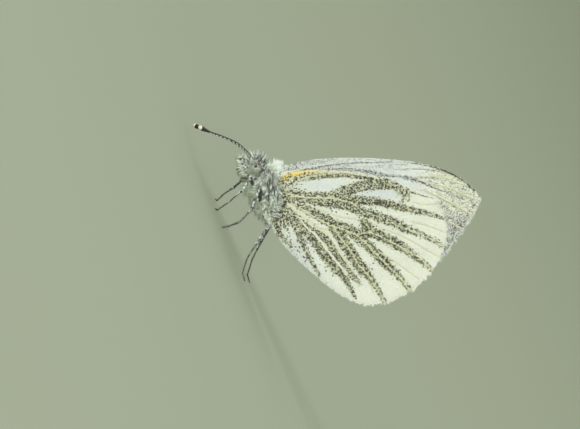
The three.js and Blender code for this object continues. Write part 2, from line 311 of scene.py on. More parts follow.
# fringed: the stretch of the margin with a fringe, fringe: its length, spacing: between the scales' rows,
# bold: how much larger the dark scales are than the pale ones, or smaller
forewing = {
    "root": [(-0.35, 2.3), (-0.3, 0)],
    "margin": [
        (0, 2.75), (2.6, 3.68), (5.8, 4.08), (10, 4.1), (14, 3.84), (17.6, 3.2), (20.2, 2.1),
        (21.9, 0.75), (22.6, -0.35), (22.3, -1.5), (20.9, -3.8), (19, -6.4), (17.6, -7.9),
        (16.4, -8.3), (13, -7), (7, -3.8), (0.6, -0.5),
    ],
    "lift": 0.15, "fringed": (0.5, 0.86), "fringe": 0.3, "spacing": 0.08, "bold": -0.8,
    # each band of dusting, and one band of painted shade: its path, then its half width and its darkness
    # from base to tip
    "bands": [
        ([(2.75, 2.76), (4.4, 3.08), (6.1, 3.39), (7.9, 3.56), (9.3, 3.63), (11, 3.67), (12.9, 3.72)],
         (0.09, 0.07), (0.95, 0.7)),
        ([(11.2, 3.35), (13.6, 3.44), (14.7, 3.4)], (0.06, 0.06), (0.4, 0.6)),
        ([(13.6, 2.89), (15, 2.98), (16.5, 2.93), (18.2, 2.7), (19.9, 2.4)], (0.06, 0.08), (0.4, 0.85)),
        ([(4.8, 2.83), (6.5, 2.9), (8.2, 2.9), (9.8, 2.73), (10.8, 2.49), (11.55, 2.33)],
         (0.1, 0.2), (0.7, 0.9)),
        ([(11.55, 2.33), (12.67, 2.19), (13.6, 2.15), (14.3, 2)], (0.12, 0.12), (0.85, 0.75)),
        ([(14.3, 2), (15, 1.87), (15.6, 1.64), (16.2, 1.4)], (0.2, 0.14), (0.8, 0.75)),
        ([(16.2, 1.4), (17.6, 0.85), (19.4, 0.11), (20.8, -0.45)], (0.11, 0.08), (0.95, 0.8)),
        ([(15.3, 1.9), (16.9, 1.98), (18.7, 1.68), (20.1, 1.4)], (0.07, 0.06), (0.8, 0.6)),
        ([(2.9, 2.7), (4.8, 2.95), (6.5, 3.1)], (0.12, 0.1), (0.4, 0.3)),
        ([(7, 3.2), (9.4, 3.3), (12, 3.2), (13.6, 3.1)], (0.05, 0.05), (0.35, 0.3)),
        ([(8.5, 3.1), (11, 3), (13, 2.7)], (0.05, 0.05), (0.3, 0.3)),
        ([(18.2, -1), (18.8, -1.56), (19.5, -2), (20.25, -2.4), (21.2, -2.85)], (0.34, 0.26), (0.55, 0.6)),
        ([(19.05, -3.4), (19.2, -3.96), (19.6, -4.24), (20.2, -4.6)], (0.22, 0.14), (0.55, 0.6)),
        # painted shade: the hindwing's shadow on the forewing, beside its edge
        ([(19.2, -4.5), (19.2, -5)], (0.18, 0.1), (0.4, 0.3)),
        ([(21.85, -1.25), (22.05, -1)], (0.1, 0.1), (1, 1)),
    ],
    # each bare line: its path, its half width from base to tip, and how much it is tinted
    "lines": [
        ([(0.9, 2.55), (1.9, 2.75), (3, 3.05), (4, 3.24), (5.8, 3.55), (6.5, 3.65)], (0.08, 0.05), 0),
        ([(13, 2.95), (14.9, 3.06)], (0.05, 0.04), 0.6),
        ([(17.1, 2.43), (19.1, 2.1), (20.6, 1.75)], (0.05, 0.05), 0.7),
        ([(15.5, 2.15), (17.5, 2.15), (19.2, 1.85), (20.4, 1.4), (21.7, 1)], (0.05, 0.05), 0.7),
        ([(17.1, 1.4), (18.2, 1.13), (19.4, 0.76), (20.8, 0.11), (22.1, -0.44)], (0.06, 0.06), 1),
        ([(16.7, 0.48), (17.8, 0.02), (19.05, -0.63), (20.1, -1.2), (21.65, -2.1)], (0.07, 0.07), 1),
        ([(18.96, -2.85), (19.9, -3.3), (20.6, -3.7)], (0.06, 0.06), 1),
    ],
    "creases": [
        [(16.6, 1.05), (19.4, 0.1), (22, -1.2)], [(17.6, -0.1), (19.6, -1.3), (21.5, -2.5)],
        [(15, 2.95), (18.4, 2.45), (20.8, 1.4)], [(8, 3.1), (11.5, 3.05), (14.6, 2.65)],
    ],
}
hindwing = {
    "root": [(-0.3, 0.9), (-0.5, -1.2)],
    "margin": [
        (0.1, 1.5), (1.2, 2.45), (3.8, 2.86), (8, 2.64), (12.2, 1.93), (15.9, 0.5), (18.2, -1.25),
        (19.1, -4), (18.4, -6.7), (16.4, -9.6), (13.6, -11.4), (10.6, -12.2), (7.6, -11.1),
        (4.3, -8.6), (1.2, -5.6), (-0.3, -3.4), (-0.6, -2.1),
    ],
    "lift": -0.12, "fringed": (0.36, 1.0), "fringe": 0.28, "spacing": 0.07, "bold": 1,
    "bands": [
        ([(-0.1, 1.3), (0.6, 0.6), (0.9, -0.1), (0.8, -1.2), (0.6, -2.3)], (1.3, 1), (0.6, 0.75)),  # root
        ([(1.1, 1.8), (2.3, 2.14), (3.3, 2.3), (4.8, 2.52), (7.2, 2.58)], (0.26, 0.1), (0.65, 0.5)),
        ([(1.6, 1.25), (2.54, 1.78), (3.44, 1.98), (5.5, 2.22), (7.5, 2.3), (9.6, 2.12), (11.1, 1.83),
          (12.2, 1.6)], (0.22, 0.22), (0.85, 0.95)),  # subcosta
        ([(1.6, 0.5), (3.4, 0.13), (5.5, 0.06), (6.85, 0.47), (8.2, 1.03), (9.6, 1.42), (11, 1.52),
          (12.2, 1.5)], (0.32, 0.2), (0.85, 0.75)),  # radial sector
        ([(5.8, -0.1), (6.85, -0.08), (8, 0.33), (9.3, 0.78), (10.7, 0.92), (12.3, 0.98), (13.2, 0.95)],
         (0.34, 0.2), (0.8, 0.95)),
        ([(12.2, 1.5), (13.4, 0.95), (14.4, 0.25)], (0.36, 0.4), (0.72, 0.65)),
        ([(13.6, 0.57), (14.3, 0.11), (14.2, -0.6)], (0.4, 0.3), (0.7, 0.35)),
        ([(14.8, 0.45), (15.6, 0.2), (16.9, -0.22)], (0.08, 0.05), (0.8, 0.6)),
        ([(7.6, -0.5), (9.3, -0.5), (10.8, -0.63), (12.3, -0.9), (13.6, -1.28), (15, -1.55)],
         (0.42, 0.26), (0.95, 0.95)),  # first median
        ([(15, -1.55), (17.3, -2.1), (18.96, -2.76)], (0.24, 0.1), (0.95, 0.7)),
        ([(1.8, -0.3), (3.4, -0.5), (4.8, -0.66), (6.2, -0.86), (8, -1.16), (9.4, -1.72), (10.8, -2.2),
          (12.3, -2.76), (13.6, -3.2)], (0.4, 0.42), (0.85, 0.76)),  # second median
        ([(13.6, -3.2), (14.5, -3.7), (15.9, -4.24), (17.3, -4.9), (18.8, -5.8)], (0.38, 0.16), (0.8, 0.6)),
        ([(1.9, -0.9), (2.9, -1.3), (4.4, -2), (5.8, -2.8), (7, -3.4), (8.4, -4), (9.2, -4.3)],
         (0.34, 0.5), (0.75, 0.95)),  # cubital stem
        ([(9.2, -4.2), (9.9, -4.1), (11, -4.2), (12.6, -4.93), (14, -5.75)], (0.46, 0.42), (0.95, 0.9)),
        ([(14, -5.75), (15.2, -6.6), (16.2, -7.35), (17.3, -8.25)], (0.38, 0.2), (0.85, 0.6)),
        ([(9.7, -2.9), (10.3, -3.6)], (0.36, 0.4), (0.9, 0.95)),
        ([(8.4, -4.15), (9.43, -4.81), (11, -6.4), (12.3, -7.67)],
         (0.42, 0.42), (0.92, 0.95)),  # first cubital
        ([(12.3, -7.67), (13.7, -9.1), (14.8, -10.5)], (0.34, 0.2), (0.88, 0.62)),
        ([(6.3, -3.5), (6.97, -4.41), (7.68, -5.4), (8.4, -6.5), (9.1, -7.6), (9.75, -8.35)],
         (0.48, 0.46), (0.92, 0.95)),  # second cubital
        ([(9.75, -8.35), (10.4, -9.1), (11.2, -10.3), (12.05, -11.8)], (0.4, 0.18), (0.92, 0.65)),
        ([(2.9, -2.98), (3.7, -3.3), (4.67, -3.94), (5.8, -5.29), (6.9, -6.87), (8.1, -8.46)],
         (0.34, 0.34), (0.9, 0.85)),
        ([(8.1, -8.46), (8.8, -9.25), (9.27, -9.8)], (0.3, 0.16), (0.75, 0.5)),
        ([(1.7, -2.2), (2.7, -3.2), (3.4, -3.95), (4.1, -4.8), (5.14, -6.24), (6.25, -7.6), (6.8, -8.3)],
         (0.44, 0.4), (0.9, 0.95)),  # anal
        ([(6.8, -8.3), (7.84, -9.57), (8.56, -10.9), (8.8, -11.3)], (0.3, 0.12), (0.85, 0.7)),
        ([(1.07, -1.3), (1.8, -2.2), (2, -3.1), (2.7, -4.6), (3.4, -6.2), (4.3, -7.9), (4.8, -8.8)],
         (0.42, 0.14), (0.95, 0.7)),
        ([(0.35, -2.6), (0.2, -3.4), (0.5, -4.26), (1.2, -5), (1.8, -5.55)], (0.36, 0.14), (0.9, 0.7)),
        ([(0.2, -2.3), (1, -2.5), (1.9, -2.6)], (0.5, 0.4), (0.8, 0.7)),
        ([(0, -0.6), (0.9, -0.25)], (0.24, 0.16), (1, 1)),
        ([(1.05, -1.3), (1.35, -1.6), (1.8, -2)], (0.2, 0.16), (1, 1)),
    ],
    "lines": [
        ([(0.94, 0.47), (1.57, 1.03), (2.5, 1.7), (3.6, 2.1), (4.6, 2.27), (5.6, 2.4), (6.6, 2.45)],
         (0.07, 0.04), 0.7),
        ([(1.6, -0.05), (2.3, -0.08), (4.4, -0.22), (6.2, -0.29), (7.9, -0.64), (8.4, -0.78),
          (8.9, -1.19), (9.8, -2.03)], (0.07, 0.05), 0.9),
        ([(1.5, -0.7), (2.6, -1.3), (3.5, -1.95), (5.1, -2.8), (5.94, -3.28), (7.05, -3.58), (7.84, -3.9),
          (8.4, -4.13), (8.95, -4.41), (9.43, -4.81), (10.2, -5.52), (11, -6.4), (12.3, -7.67),
          (13.7, -9.1), (14.8, -10.5)], (0.07, 0.055), 1),
        ([(8.9, -4.35), (9.4, -4.15), (10.4, -4.1), (11, -4.25), (12.3, -4.89), (13.9, -5.76),
          (15.3, -6.55), (15.9, -6.9), (17.3, -8.2)], (0.055, 0.045), 0.9),
        ([(9.67, -2.83), (10.06, -3.3), (10.5, -4)], (0.05, 0.05), 0.9),
        ([(6.3, -3.45), (6.97, -4.41), (7.68, -5.29), (8.4, -6.4), (9.1, -7.6), (9.75, -8.3),
          (10.86, -9.73), (11.4, -10.76), (12.05, -11.8)], (0.06, 0.05), 1),
        ([(12.6, -2.95), (14.5, -3.7), (16.6, -4.55), (18.8, -5.8)], (0.035, 0.045), 0.5),
        ([(2.7, -2.67), (3.5, -3.6), (4.3, -4.26), (5.3, -5.5), (6.33, -6.87), (7.3, -8), (7.84, -8.7)],
         (0.09, 0.13), 0.35),
        ([(1.45, -0.92), (2.25, -1.6), (3.2, -2.55), (4, -3.15), (4.8, -3.6), (5.46, -4)],
         (0.2, 0.24), 0.5),
        ([(5.46, -4), (6.1, -4.6), (6.65, -5.4), (7.2, -6.45), (7.84, -7.35), (8.4, -8.1), (9.43, -9.2)],
         (0.22, 0.08), 0.2),
        ([(4.6, 2.68), (6.5, 2.62), (8.6, 2.46), (10.4, 2.15), (11.7, 1.88)], (0.09, 0.1), 0.4),
    ],
    "creases": [
        [(2.4, -0.8), (5.2, -1.75), (7.2, -2.4), (9.7, -2.8), (11.9, -3.65), (14.5, -4.8), (16.7, -6.1),
         (18.2, -6.9)],
        [(11.1, -5.9), (15.8, -9.3)], [(14.8, -2.85), (16.7, -3.35), (19, -4.2)],
        [(15, -0.65), (16.2, -1), (18, -1)], [(3.5, -2.6), (6, -5), (8.6, -8.4)], [(10.8, -11), (10, -8.6)],
    ],
    "humeral": [(0.1, 1.5), (0.9, 2.15), (2.2, 2.5), (4, 2.66), (6, 2.7), (8.6, 2.5)],
}


def fromSegment(u, v, start, end):  # how far from a straight stretch, and the share along it
    step = end - start
    share = np.clip(((u - start[0]) * step[0] + (v - start[1]) * step[1]) / (step @ step), 0, 1)
    return np.hypot(u - start[0] - share * step[0], v - start[1] - share * step[1]), share


def alongVein(u, v, path):  # the same for a whole path
    points = smoothPath(path, 4 * len(path))
    nearest, share = np.full(u.shape, np.inf), np.zeros(u.shape)
    for i, (start, end) in enumerate(zip(points, points[1:])):
        distance, t = fromSegment(u, v, start, end)
        closer = distance < nearest
        nearest = np.where(closer, distance, nearest)
        share = np.where(closer, (i + t) / (len(points) - 1), share)
    return nearest, share


def dustVeins(wing, u, v):
    dark, line, bare = np.zeros(u.shape), np.zeros(u.shape), np.zeros(u.shape)
    narrow = 0.6 + 0.5 * fade(1.2, 5, np.hypot(u, v + 1))  # the bands start narrow at the root
    for path, width, strength in wing["bands"]:
        distance, share = alongVein(u, v, path)
        half = between(*width, share) * narrow
        core, halo = fade(1.55 * half, 0.6 * half, distance), fade(2.4 * half, half, distance)
        hollow = 0.84 + 0.16 * fade(0.2 * half, 0.8 * half, distance)  # a band is densest along its edges
        dark = np.maximum(dark, between(*strength, share) * ((0.85 * core + 0.15 * halo) * hollow))
    for path, width, tint in wing["lines"]:
        distance, share = alongVein(u, v, path)
        half = between(*width, share)
        clear = fade(1.5 * half, 0.55 * half, distance)
        bare = np.maximum(bare, clear)
        line = np.maximum(line, 0.8 * tint * clear)
    return dark * (1 - 0.95 * bare), line, bare


def tintForewing(u, v):
    dark, line, bare = dustVeins(forewing, u, v)
    rim, share = alongVein(u, v, forewing["margin"][:9])  # the leading edge and the tip
    edge = 0.35 * fade(0.04, 0.12, share) + 0.4 * fade(0.45, 0.57, share) + fade(0.57, 0.66, share)
    dark = np.maximum.reduce([
        dark,
        fade(0.22, 0.16, rim) * edge * fade(0.93, 0.88, share),  # a line along them, darkest at the tip
        0.5 * fade(12, 2, u) * fade(2.2, 2.8, v) * (1 - bare),  # by the root's leading edge
        0.38 * fade(15, 19, u) * (1 - bare),  # all over the tip
        0.64 * fade(-1.2, -2.6, v) * fade(17.4, 19, u) * (1 - bare),  # and more below it, beside the hindwing's edge: dusting, and partly painted shade
    ])
    warm = 0.6 * fade(15, 19, u + 0.25 * v)
    cool = np.maximum(0.55 * fade(19, 13, u), 0.5 * fade(-1.4, -3, v))
    return dark, 0.3 * dark, line, warm, np.zeros(u.shape), cool


def tintHindwing(u, v):
    dark, line, bare = dustVeins(hindwing, u, v)
    cool = np.maximum.reduce([
        0.8 * bell(u, v, (11.2, 0.25), (2.6, 0.6)),  # below the leading edge, towards the tip
        0.5 * bell(u, v, (5, 1.1), (2.6, 0.7)),  # and nearer the root
        0.5 * fade(6, 2, u) * fade(-3, -5.5, v),  # by the abdomen
    ])
    warm = 0.3 + 0.3 * fade(12, 18, np.hypot(u, v)) + 0.4 * fade(0.1, 0.5, dark)
    distance, share = alongVein(u, v, hindwing["humeral"])
    orange = fade(0.7 - 0.5 * share, 0.3 - 0.24 * share, distance) * (0.2 + 0.8 * fade(0.8, 0.4, share))
    dark = np.maximum.reduce([
        dark,
        0.78 * fade(4, 1.4, np.hypot(u, v + 0.9)) * (1 - bare),  # dusk at the root
        0.28 * fade(0.9, 0.4, distance) * fade(0.6, 0.2, share),  # under the yellow
        0.16 * fade(7, 2, np.hypot(u, v + 4)),  # a little all over the root half
    ])
    for path in hindwing["creases"]:
        distance, share = alongVein(u, v, path)
        crease = fade(0.11, 0.03, distance) * fade(0, 0.1, share)
        line = np.maximum(line, 0.6 * crease)
    return dark, dark, line, np.clip(warm - cool, 0, 1), orange, cool


def wingMarks(wing, u, v):
    # dark is the share of dark scales, line the bare veins, the rest tints of the pale scales
    marks = tintHindwing(u, v) if wing is hindwing else tintForewing(u, v)
    return dict(zip(("dark", "moss", "line", "warm", "orange", "cool"), marks))


relief = {"height": 0.045, "veinWidth": 0.1, "creaseWidth": 0.12, "creaseDepth": 0.8}


def wingRelief(wing, u, v):  # veins stand up and creases sink
    height = np.zeros(u.shape)
    for path, _, tint in wing["lines"]:
        if tint > 0.5:  # the fainter lines are flat
            distance, share = alongVein(u, v, path)
            height = np.maximum(height, tint * np.exp(-(distance / relief["veinWidth"]) ** 2))
    for path in wing["creases"]:
        distance, share = alongVein(u, v, path)
        crease = np.exp(-(distance / relief["creaseWidth"]) ** 2) * fade(0, 0.1, share)
        height = height - relief["creaseDepth"] * crease
    return relief["height"] * height


def wingHeight(wing, u, v):  # how far the wing's outer face is from the plane of symmetry
    middle = wingSeat["halfGap"] + wingSeat["flare"] * np.exp(-np.maximum(u, 0) / wingSeat["flareLength"])
    if wing is hindwing:
        away, _ = fromSegment(u, v, *abdomenLine)
        middle = middle + wingSeat["layer"] + wingSeat["bulge"] * np.exp(-(away / wingSeat["bulgeWidth"])**2)
        middle = middle - wingSeat["tuck"] * fade(1.4, -0.4, u)  # the root tucks into the thorax
    flute = wingSeat["flute"] * np.sin(1.7 * v - 0.9 * u + 0.4 * np.sin(0.5 * u))
    return middle + wing["lift"] + flute * fade(0.5, 6, u) + wingRelief(wing, u, v)


def wingFan(wing, share, out):  # share runs round the margin, out from the root's edge to the margin
    steps = wingSeat["margin"]
    margin = smoothPath(wing["margin"], steps + 1)
    inner = between(*np.array(wing["root"]), share[:, None])
    outer = np.stack([np.interp(share * steps, np.arange(steps + 1), margin[:, k]) for k in (0, 1)], 1)
    place = between(inner, outer, out[:, None])
    return place[:, 0], place[:, 1]


def wingEdge(wing, share):  # how far out the skin reaches
    first, last = wing["fringed"]
    fringed = fade(first - 0.04, first + 0.02, share) * fade(last + 0.04, last - 0.02, share)
    inset = between(wingSeat["inset"], wingSeat["fringeInset"], fringed)
    near, far = wingFan(wing, share, 0 * share), wingFan(wing, share, 0 * share + 1)
    return 1 - inset / np.hypot(far[0] - near[0], far[1] - near[1])


def insideWing(wing, u, v):
    share = np.linspace(0, 1, wingSeat["outline"])
    edge = np.vstack([np.transpose(wingFan(wing, share, wingEdge(wing, share))), wing["root"][::-1]])
    inside = np.zeros(u.shape, dtype=bool)
    for i in range(len(edge)):
        (a, b), (c, d) = edge[i - 1], edge[i]
        crosses = (b > v) != (d > v)
        inside ^= crosses & (u < (c - a) * (v - b) / (d - b + 1e-12) + a)
    return inside


def buildWingSkin(wing, name):
    bm = bmesh.new()
    bmesh.ops.create_grid(bm, x_segments=wingSeat["around"], y_segments=wingSeat["across"], size=0.5)
    grid = np.array([vert.co[:2] for vert in bm.verts]) + 0.5
    u, v = wingFan(wing, grid[:, 0], grid[:, 1] * wingEdge(wing, grid[:, 0]))
    for vert, place in zip(bm.verts, placeOnWing(u, v, -wingHeight(wing, u, v)) * mm):
        vert.co = place
    inner = bmesh.ops.extrude_face_region(bm, geom=bm.faces[:], use_keep_orig=True)["geom"]
    for vert in (part for part in inner if isinstance(part, bmesh.types.BMVert)):
        vert.co.y += wingSeat["skinThickness"] * mm
    bmesh.ops.recalc_face_normals(bm, faces=bm.faces[:])
    return smoothMesh(bm, name)


def markWingSkin(wing, mesh):
    place = cornersOf(mesh)
    u, v = onWing(place[:, 0], place[:, 2])
    marks = wingMarks(wing, u, v)
    outer = place[:, 1] < -wingHeight(wing, u, v) + 0.5 * wingSeat["skinThickness"]
    addFloats(mesh, dict(marks, dark=marks["dark"] * np.where(outer, 1, 0.4)))  # the inner face is paler


def wingNormals(wing, u, v):
    step = 0.04
    here = wingHeight(wing, u, v)
    slopeU = (wingHeight(wing, u + step, v) - here) / step
    slopeV = (wingHeight(wing, u, v + step) - here) / step
    return unit(headingOnWing(-slopeU, -slopeV, -np.ones(u.shape)))


clump = {"long": 0.13, "wide": 0.095, "scatter": 0.012, "chances": (128, 1024)}


def clumpChance(u, v):  # one chance shared by the few scales of a clump, which is longer than wide
    rows, columns = clump["chances"]
    reach = np.hypot(u, v) + rng.normal(0, clump["scatter"], u.shape)
    turn = np.arctan2(v, u) + rng.normal(0, clump["scatter"], u.shape) / (reach + 1)
    row = (reach / clump["long"]).astype(int)
    column = np.floor((turn + 4) * (row + 1) * clump["long"] / clump["wide"]).astype(int)
    chances = rng.random((rows, columns))
    return chances[row % rows, column % columns]


# clump, alone: how often a clump, or one scale, is dark where darkness is full. kept: how many scales of a
# dark clump are dark. dark, pale: the tones of both kinds.
speckle = {"clump": 0.52, "kept": 0.95, "alone": 0.05, "dark": (0.88, 1), "pale": (0, 0.12)}


def toneOf(chance, shared):  # scales are dark or pale by chance, and the pale ones among the dark are dimmed
    alone = rng.random(chance.shape)
    dark = (shared < speckle["clump"] * chance) & (alone < speckle["kept"])
    dark = dark | (alone < speckle["alone"] * chance)
    deep, dim = (rng.uniform(*speckle[kind], chance.shape) for kind in ("dark", "pale"))
    return np.where(dark, deep, chance * dim)


wingScales = {
    "length": 2.06, "width": 1.25, "row": 0.9, "jitter": 0.3,  # in spacings
    "rise": 0.022, "hover": 0.004, "swing": 0.3,
    "grown": 0.12, "shrunk": 0.3, "raised": 0.9,  # what a wing's bold does to its dark scales
    "field": ((-1, 23.5), (-13, 5)),  # large enough for both wings
    "from": (-1.2, 0.3),  # the place that all scales point away from
}


def layWingScales(wing, part):  # ground scales, and cover scales in the rows between them
    spacing, fieldU, fieldV = wing["spacing"], *wingScales["field"]
    rows, columns = np.arange(*fieldU, spacing), np.arange(*fieldV, spacing * wingScales["row"])
    us, vs = np.meshgrid(rows, columns, indexing="ij")
    odd = np.arange(us.shape[1]) % 2
    us = us + spacing * 0.5 * odd[None]
    jitter = wingScales["jitter"]
    u = (us + rng.uniform(-jitter, jitter, us.shape) * spacing).ravel()
    v = (vs + rng.uniform(-jitter, jitter, vs.shape) * spacing).ravel()
    kept = insideWing(wing, u, v)
    covers = np.broadcast_to(odd == 1, us.shape).ravel()[kept]
    u, v = u[kept], v[kept]
    marks = wingMarks(wing, u, v)
    y = -wingHeight(wing, u, v) - wingScales["hover"] * (1 + 9 * marks["line"])
    normal = wingNormals(wing, u, v)
    swing = rng.normal(0, wingScales["swing"], u.shape)
    fromU, fromV = u - wingScales["from"][0], v - wingScales["from"][1]
    reach = np.hypot(fromU, fromV)
    du, dv = turned(fromU / reach, fromV / reach, swing)
    shared = clumpChance(fromU, fromV)
    if wing is forewing:  # finely dusted, one scale at a time
        shared = rng.random(u.shape)
    tone = toneOf(marks["dark"], shared)
    bold = (tone > 0.6) * wing["bold"]
    swell = np.where(bold > 0, wingScales["grown"], wingScales["shrunk"]) * bold
    size = rng.uniform(0.85, 1.15, u.shape) * (1 + swell)
    orange = marks["orange"] * rng.uniform(0.3, 1.15, u.shape)
    floats = dict(marks, dark=tone, orange=np.clip(orange, 0, 1), jitter=rng.random(u.shape))
    lifted = 1 + wingScales["raised"] * np.abs(bold)  # dark scales lie on top
    rise = wingScales["rise"] * rng.uniform(0.6, 1.5, u.shape) * lifted
    along, unwrap = headingOnWing(du, dv, np.zeros(u.shape)), np.stack([u, v], 1)
    return [
        layScales(
            f"{part}{layer}ScalesLeft", placeOnWing(u, v, y)[own], along[own], normal[own],
            wingScales["length"] * spacing * size[own], wingScales["width"] * spacing * size[own],
            rise[own], unwrap[own], {key: value[own] for key, value in floats.items()},
        )
        for layer, own in (("Ground", ~covers), ("Cover", covers))
    ]


fringe = {
    "scales": 2800, "tufts": 230, "width": 0.05, "rise": 0.02, "swing": 0.22,
    "stray": 0.06, "dusted": 0.4,  # how often a scale is dark, anywhere and where the wing is dark
}


def layFringe(wing, name):
    count, step = fringe["scales"], 0.002  # the step is a share of the margin
    share = between(*wing["fringed"], evenPairs(count)[:, 0])
    inner = wingEdge(wing, share) - 0.004 * rng.random(count)  # rooted just inside the skin's edge
    u, v = wingFan(wing, share, inner)
    farU, farV = wingFan(wing, share, np.ones(count))
    nextU, nextV = wingFan(wing, np.minimum(share + step, 1), inner)
    lastU, lastV = wingFan(wing, share - step, inner)
    outU, outV = -(nextV - lastV), nextU - lastU  # at right angles to the margin, and then turned outwards
    turn = np.sign(outU * (farU - u) + outV * (farV - v))
    long = np.hypot(outU, outV) + 1e-9
    swing = rng.normal(0, fringe["swing"], count)
    outU, outV = turned(turn * outU / long, turn * outV / long, swing)
    marks = wingMarks(wing, u, v)
    chance = fringe["stray"] + fringe["dusted"] * marks["dark"]
    floats = dict(marks, dark=toneOf(chance, rng.random(count)))
    floats["warm"] = floats["warm"] * 0.4
    floats["jitter"] = 0.5 + 0.5 * rng.random(count)
    y = -wingHeight(wing, u, v) + rng.uniform(-0.04, 0.05, count)
    tuft = (share * fringe["tufts"]).astype(int)
    length = wing["fringe"] * rng.uniform(0.75, 1.2, count)
    ragged = 0.25 + 0.75 * fade(0.82, 0.66, share)  # evener along the inner margin
    length = length * (1 + (rng.uniform(0.3, 1.6, fringe["tufts"] + 1)[tuft] - 1) * ragged)
    return layScales(
        name, placeOnWing(u, v, y), headingOnWing(outU, outV, rng.normal(0, 0.1, count)),
        unit(headingOnWing(rng.normal(0, 0.15, count), rng.normal(0, 0.15, count), -np.ones(count))),
        length, fringe["width"] * rng.uniform(0.7, 1.3, count), np.full(count, fringe["rise"]),
        np.stack([farU, farV], 1), floats,
    )


rootHair = {
    "hairs": 420, "length": 0.8, "width": 0.05, "corner": (-0.6, -2.4), "field": (0.8, 3.7),
    "locks": 997, "dark": 0.22,  # the number of locks, and the share of them that is dark
}


def growRootHair(wing, name):  # long hair combed back from the hinge over the root of the wing
    count = rootHair["hairs"]
    spread = evenPairs(count)
    u, v = (rootHair["corner"] + rootHair["field"] * spread).T
    place = placeOnWing(u, v, -wingHeight(wing, u, v) - 0.02)
    sway = rng.normal(0, 0.22, count) + 0.5 * np.sin(5 * v + 3 * u)
    fan = 0.35 * (v + 0.4) + 0.4 * sway  # spread from the middle, and swaying in waves
    heading = unit(headingOnWing(np.cos(fan), np.sin(fan), -0.2 - 0.15 * rng.random(count)))
    long = rootHair["length"] * rng.uniform(0.5, 1.1, count)
    droop = headingOnWing(0 * u, 0 * u, 0.25 * long)
    lock = (np.floor(v * 7) + 40 * np.floor(u * 3)).astype(int) % rootHair["locks"]
    dark = np.where(rng.random(rootHair["locks"])[lock] < rootHair["dark"], 0.8, 0.05)
    jitter = rng.random(rootHair["locks"])[lock] + rng.uniform(-0.15, 0.15, count)
    return growHairs(name, place, heading, droop, long, rootHair["width"] * rng.uniform(0.7, 1.3, count),
                     spread, {"dark": dark, "jitter": np.clip(jitter, 0, 1)})


def mirrored(piece, name):
    mesh = piece.data.copy()
    mesh.name = name
    bm = bmesh.new()
    bm.from_mesh(mesh)
    bmesh.ops.scale(bm, vec=(1, -1, 1), verts=bm.verts[:])
    bmesh.ops.reverse_faces(bm, faces=bm.faces[:])
    bm.to_mesh(mesh)
    bm.free()
    return newObject(name, mesh)


# Colours

def srgb(red, green, blue):
    def linear(c):
        c = c / 255
        return c / 12.92 if c <= 0.04045 else ((c + 0.055) / 1.055) ** 2.4
    return (linear(red), linear(green), linear(blue), 1)


def addNode(tree, kind, values=None, **settings):  # values are numbers, colours or sockets to link from
    node = tree.nodes.new(f"ShaderNode{kind}")
    for key, setting in settings.items():
        setattr(node, key, setting)
    for key, value in (values or {}).items():
        if isinstance(value, bpy.types.NodeSocket):
            tree.links.new(value, node.inputs[key])
        else:
            node.inputs[key].default_value = value
    return node


def mixColours(tree, factor, one, other):
    return addNode(tree, "Mix", {"Factor": factor, 6: one, 7: other}, data_type="RGBA").outputs[2]


def mathNode(tree, operation, *values, clamp=False):
    return addNode(tree, "Math", dict(enumerate(values)), operation=operation, use_clamp=clamp).outputs[0]


def shadeBy(tree, colour, value, low, high, fullAt=1):  # the colour's brightness goes from low to high
    factor = addNode(tree, "MapRange", {"Value": value, "From Max": fullAt, "To Min": low, "To Max": high})
    return addNode(tree, "HueSaturation", {"Value": factor.outputs[0], "Color": colour}).outputs[0]


def grainOf(tree, scale, detail=2):
    where = addNode(tree, "TexCoord").outputs["Object"]
    return addNode(tree, "TexNoise", {"Vector": where, "Scale": scale, "Detail": detail}).outputs["Fac"]


def readFloat(tree, name):
    return addNode(tree, "Attribute", attribute_name=name).outputs["Fac"]


def newGroup(name, colours, numbers):  # a node group with these inputs, and one colour to put out
    group = bpy.data.node_groups.new(name, "ShaderNodeTree")
    for kind, labels in (("NodeSocketColor", colours), ("NodeSocketFloat", numbers)):
        for label in labels:
            group.interface.new_socket(name=label, in_out="INPUT", socket_type=kind)
    group.interface.new_socket(name="Color", in_out="OUTPUT", socket_type="NodeSocketColor")
    return group, group.nodes.new("NodeGroupInput").outputs, group.nodes.new("NodeGroupOutput").inputs


def newMaterial(name, roughness, colour=(0.8, 0.8, 0.8, 1)):
    material = bpy.data.materials.new(name)
    material.use_nodes = True
    shader = material.node_tree.nodes["Principled BSDF"]
    shader.inputs["Roughness"].default_value = roughness
    shader.inputs["Base Color"].default_value = colour
    return material, material.node_tree, shader


pigments = {
    "pearl": srgb(235, 239, 229), "cream": srgb(241, 242, 220), "blueWhite": srgb(220, 226, 228),
    "yellow": srgb(255, 222, 92), "olive": srgb(32, 32, 24), "slate": srgb(62, 66, 72),
    "vein": srgb(219, 217, 170), "moss": srgb(214, 217, 174),
}
paleTints = {"Warm": "cream", "Cool": "blueWhite", "Moss": "moss", "Line": "vein", "Orange": "yellow"}


def pigmentGroup():
    labels = ("Dark", "Moss", "Line", "Warm", "Orange", "Cool", "Jitter")
    group, given, result = newGroup("wingPigment", (), labels)
    pale = pigments["pearl"]
    for label, tint in paleTints.items():
        pale = mixColours(group, given[label], pale, pigments[tint])
    soft = mathNode(group, "MULTIPLY", given["Cool"], 0.8)
    deep = mixColours(group, soft, pigments["olive"], pigments["slate"])
    colour = mixColours(group, given["Dark"], pale, deep)
    group.links.new(shadeBy(group, colour, given["Jitter"], 0.84, 1.06), result["Color"])
    return group


